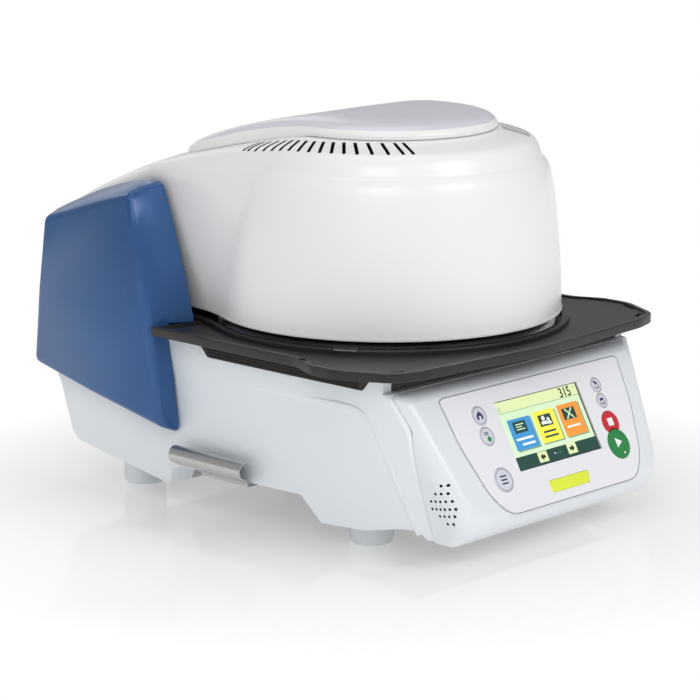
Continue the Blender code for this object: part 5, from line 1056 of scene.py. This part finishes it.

# Status light and keys: discs with a rounded rim, a ring and a sign of their own
glow_yellow = lit("status_light_glow", "#CBD63A", 0.35)
status = slab("status_bar_light", [bar_outline], -0.0030, 0.0003, panel, glow_yellow, edge=0.0003)
stand_for(smooth(status, 30), "status_bar")
key_grey = finish("key_lilac_grey", "#DCDDE8", 0.32, Coat_Weight=0.2)
key_red = finish("key_signal_red", "#D3202C", 0.34, Coat_Weight=0.2)
key_green = finish("key_signal_green", "#1D8A43", 0.34, Coat_Weight=0.2)
for material in (key_grey, key_red, key_green):
    grain(material, 2600, 0.08, 0.00003)
ring_grey = finish("key_ring_grey", "#9B9CB2", 0.40)
grain(ring_grey, 2600, 0.08, 0.00003)


def tip(u, v, radius):
    """Three corners of a triangle that points to the right."""
    return [(u + radius * math.cos(math.radians(a)), v + radius * math.sin(math.radians(a))) for a in (0, 120, 240)]


signs = {
    "key_home": [(print_blue, [[(-0.0033, 0.0004), (-0.0033, -0.0030), (-0.0013, -0.0030), (-0.0013, -0.0002), (0.0013, -0.0002),
                                (0.0013, -0.0030), (0.0033, -0.0030), (0.0033, 0.0004), (0.0, 0.0036)]])],
    "key_power_save": [(print_blue, [block(-0.0004, 0.0028, 0.0024, 0.00035), block(-0.0004, 0.0014, 0.0020, 0.00035)]),
                       (print_green, [ring_points((0.0012, -0.0024), 0.0021, 20)])],
    "key_program": [(print_blue, [block(0.0, 0.0028, 0.0032, 0.0006), block(0.0, 0.0, 0.0032, 0.0006),
                                  block(0.0, -0.0028, 0.0032, 0.0006)])],
    "key_head_open": [(print_blue, [spun(block(-0.0004, 0.0019, 0.0022, 0.0009), -38, (-0.0004, 0.0019)),
                                    block(0.0, -0.0026, 0.0024, 0.00035), block(-0.0022, -0.0013, 0.0003, 0.0009),
                                    block(0.0022, -0.0013, 0.0003, 0.0009)])],
    "key_head_close": [(print_blue, [block(-0.0002, 0.0010, 0.0020, 0.0011), block(0.0, -0.0026, 0.0024, 0.00035),
                                     block(-0.0022, -0.0013, 0.0003, 0.0009), block(0.0022, -0.0013, 0.0003, 0.0009)])],
    "key_stop": [(print_white, [block(0.0, 0.0004, 0.0031, 0.0031)])],
    "key_start": [(print_white, [tip(-0.0004, 0.0012, 0.0046), ring_points((0.0030, -0.0078), 0.0009, 14)])]}
for name, (u, v, radius) in keys.items():
    paint, slot = (key_grey, "key_grey")
    if name in ("key_stop", "key_start"):
        paint, slot = (key_red, "key_red") if name == "key_stop" else (key_green, "key_green")
    cap = slab(name + "_cap", [ring_points((u, v), radius, 56)], -0.0034, 0.0006, panel, paint, edge=0.0003)
    if name == "key_stop":
        start_u, start_v, start_radius = keys["key_start"]
        carve(cap, slab("start_outline", [ring_points((start_u, start_v), start_radius + 0.0008, 56)], -0.02, 0.02, panel))
    stand_for(smooth(cap, 30), name)
    if slot == "key_grey":
        printed(name + "_ring", [ring_points((u, v), radius * 0.93, 56), ring_points((u, v), radius * 0.86, 56)], 0.0006,
                ring_grey, name)
    for i, (ink, outlines) in enumerate(signs[name]):
        moved = [[(u + a, v + b) for a, b in outline] for outline in outlines]
        printed(f"{name}_sign_{i}", moved, 0.0006 + 0.00002 * (i + 1), ink, name)

# Sizes: the box of the dressed part
low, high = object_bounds()
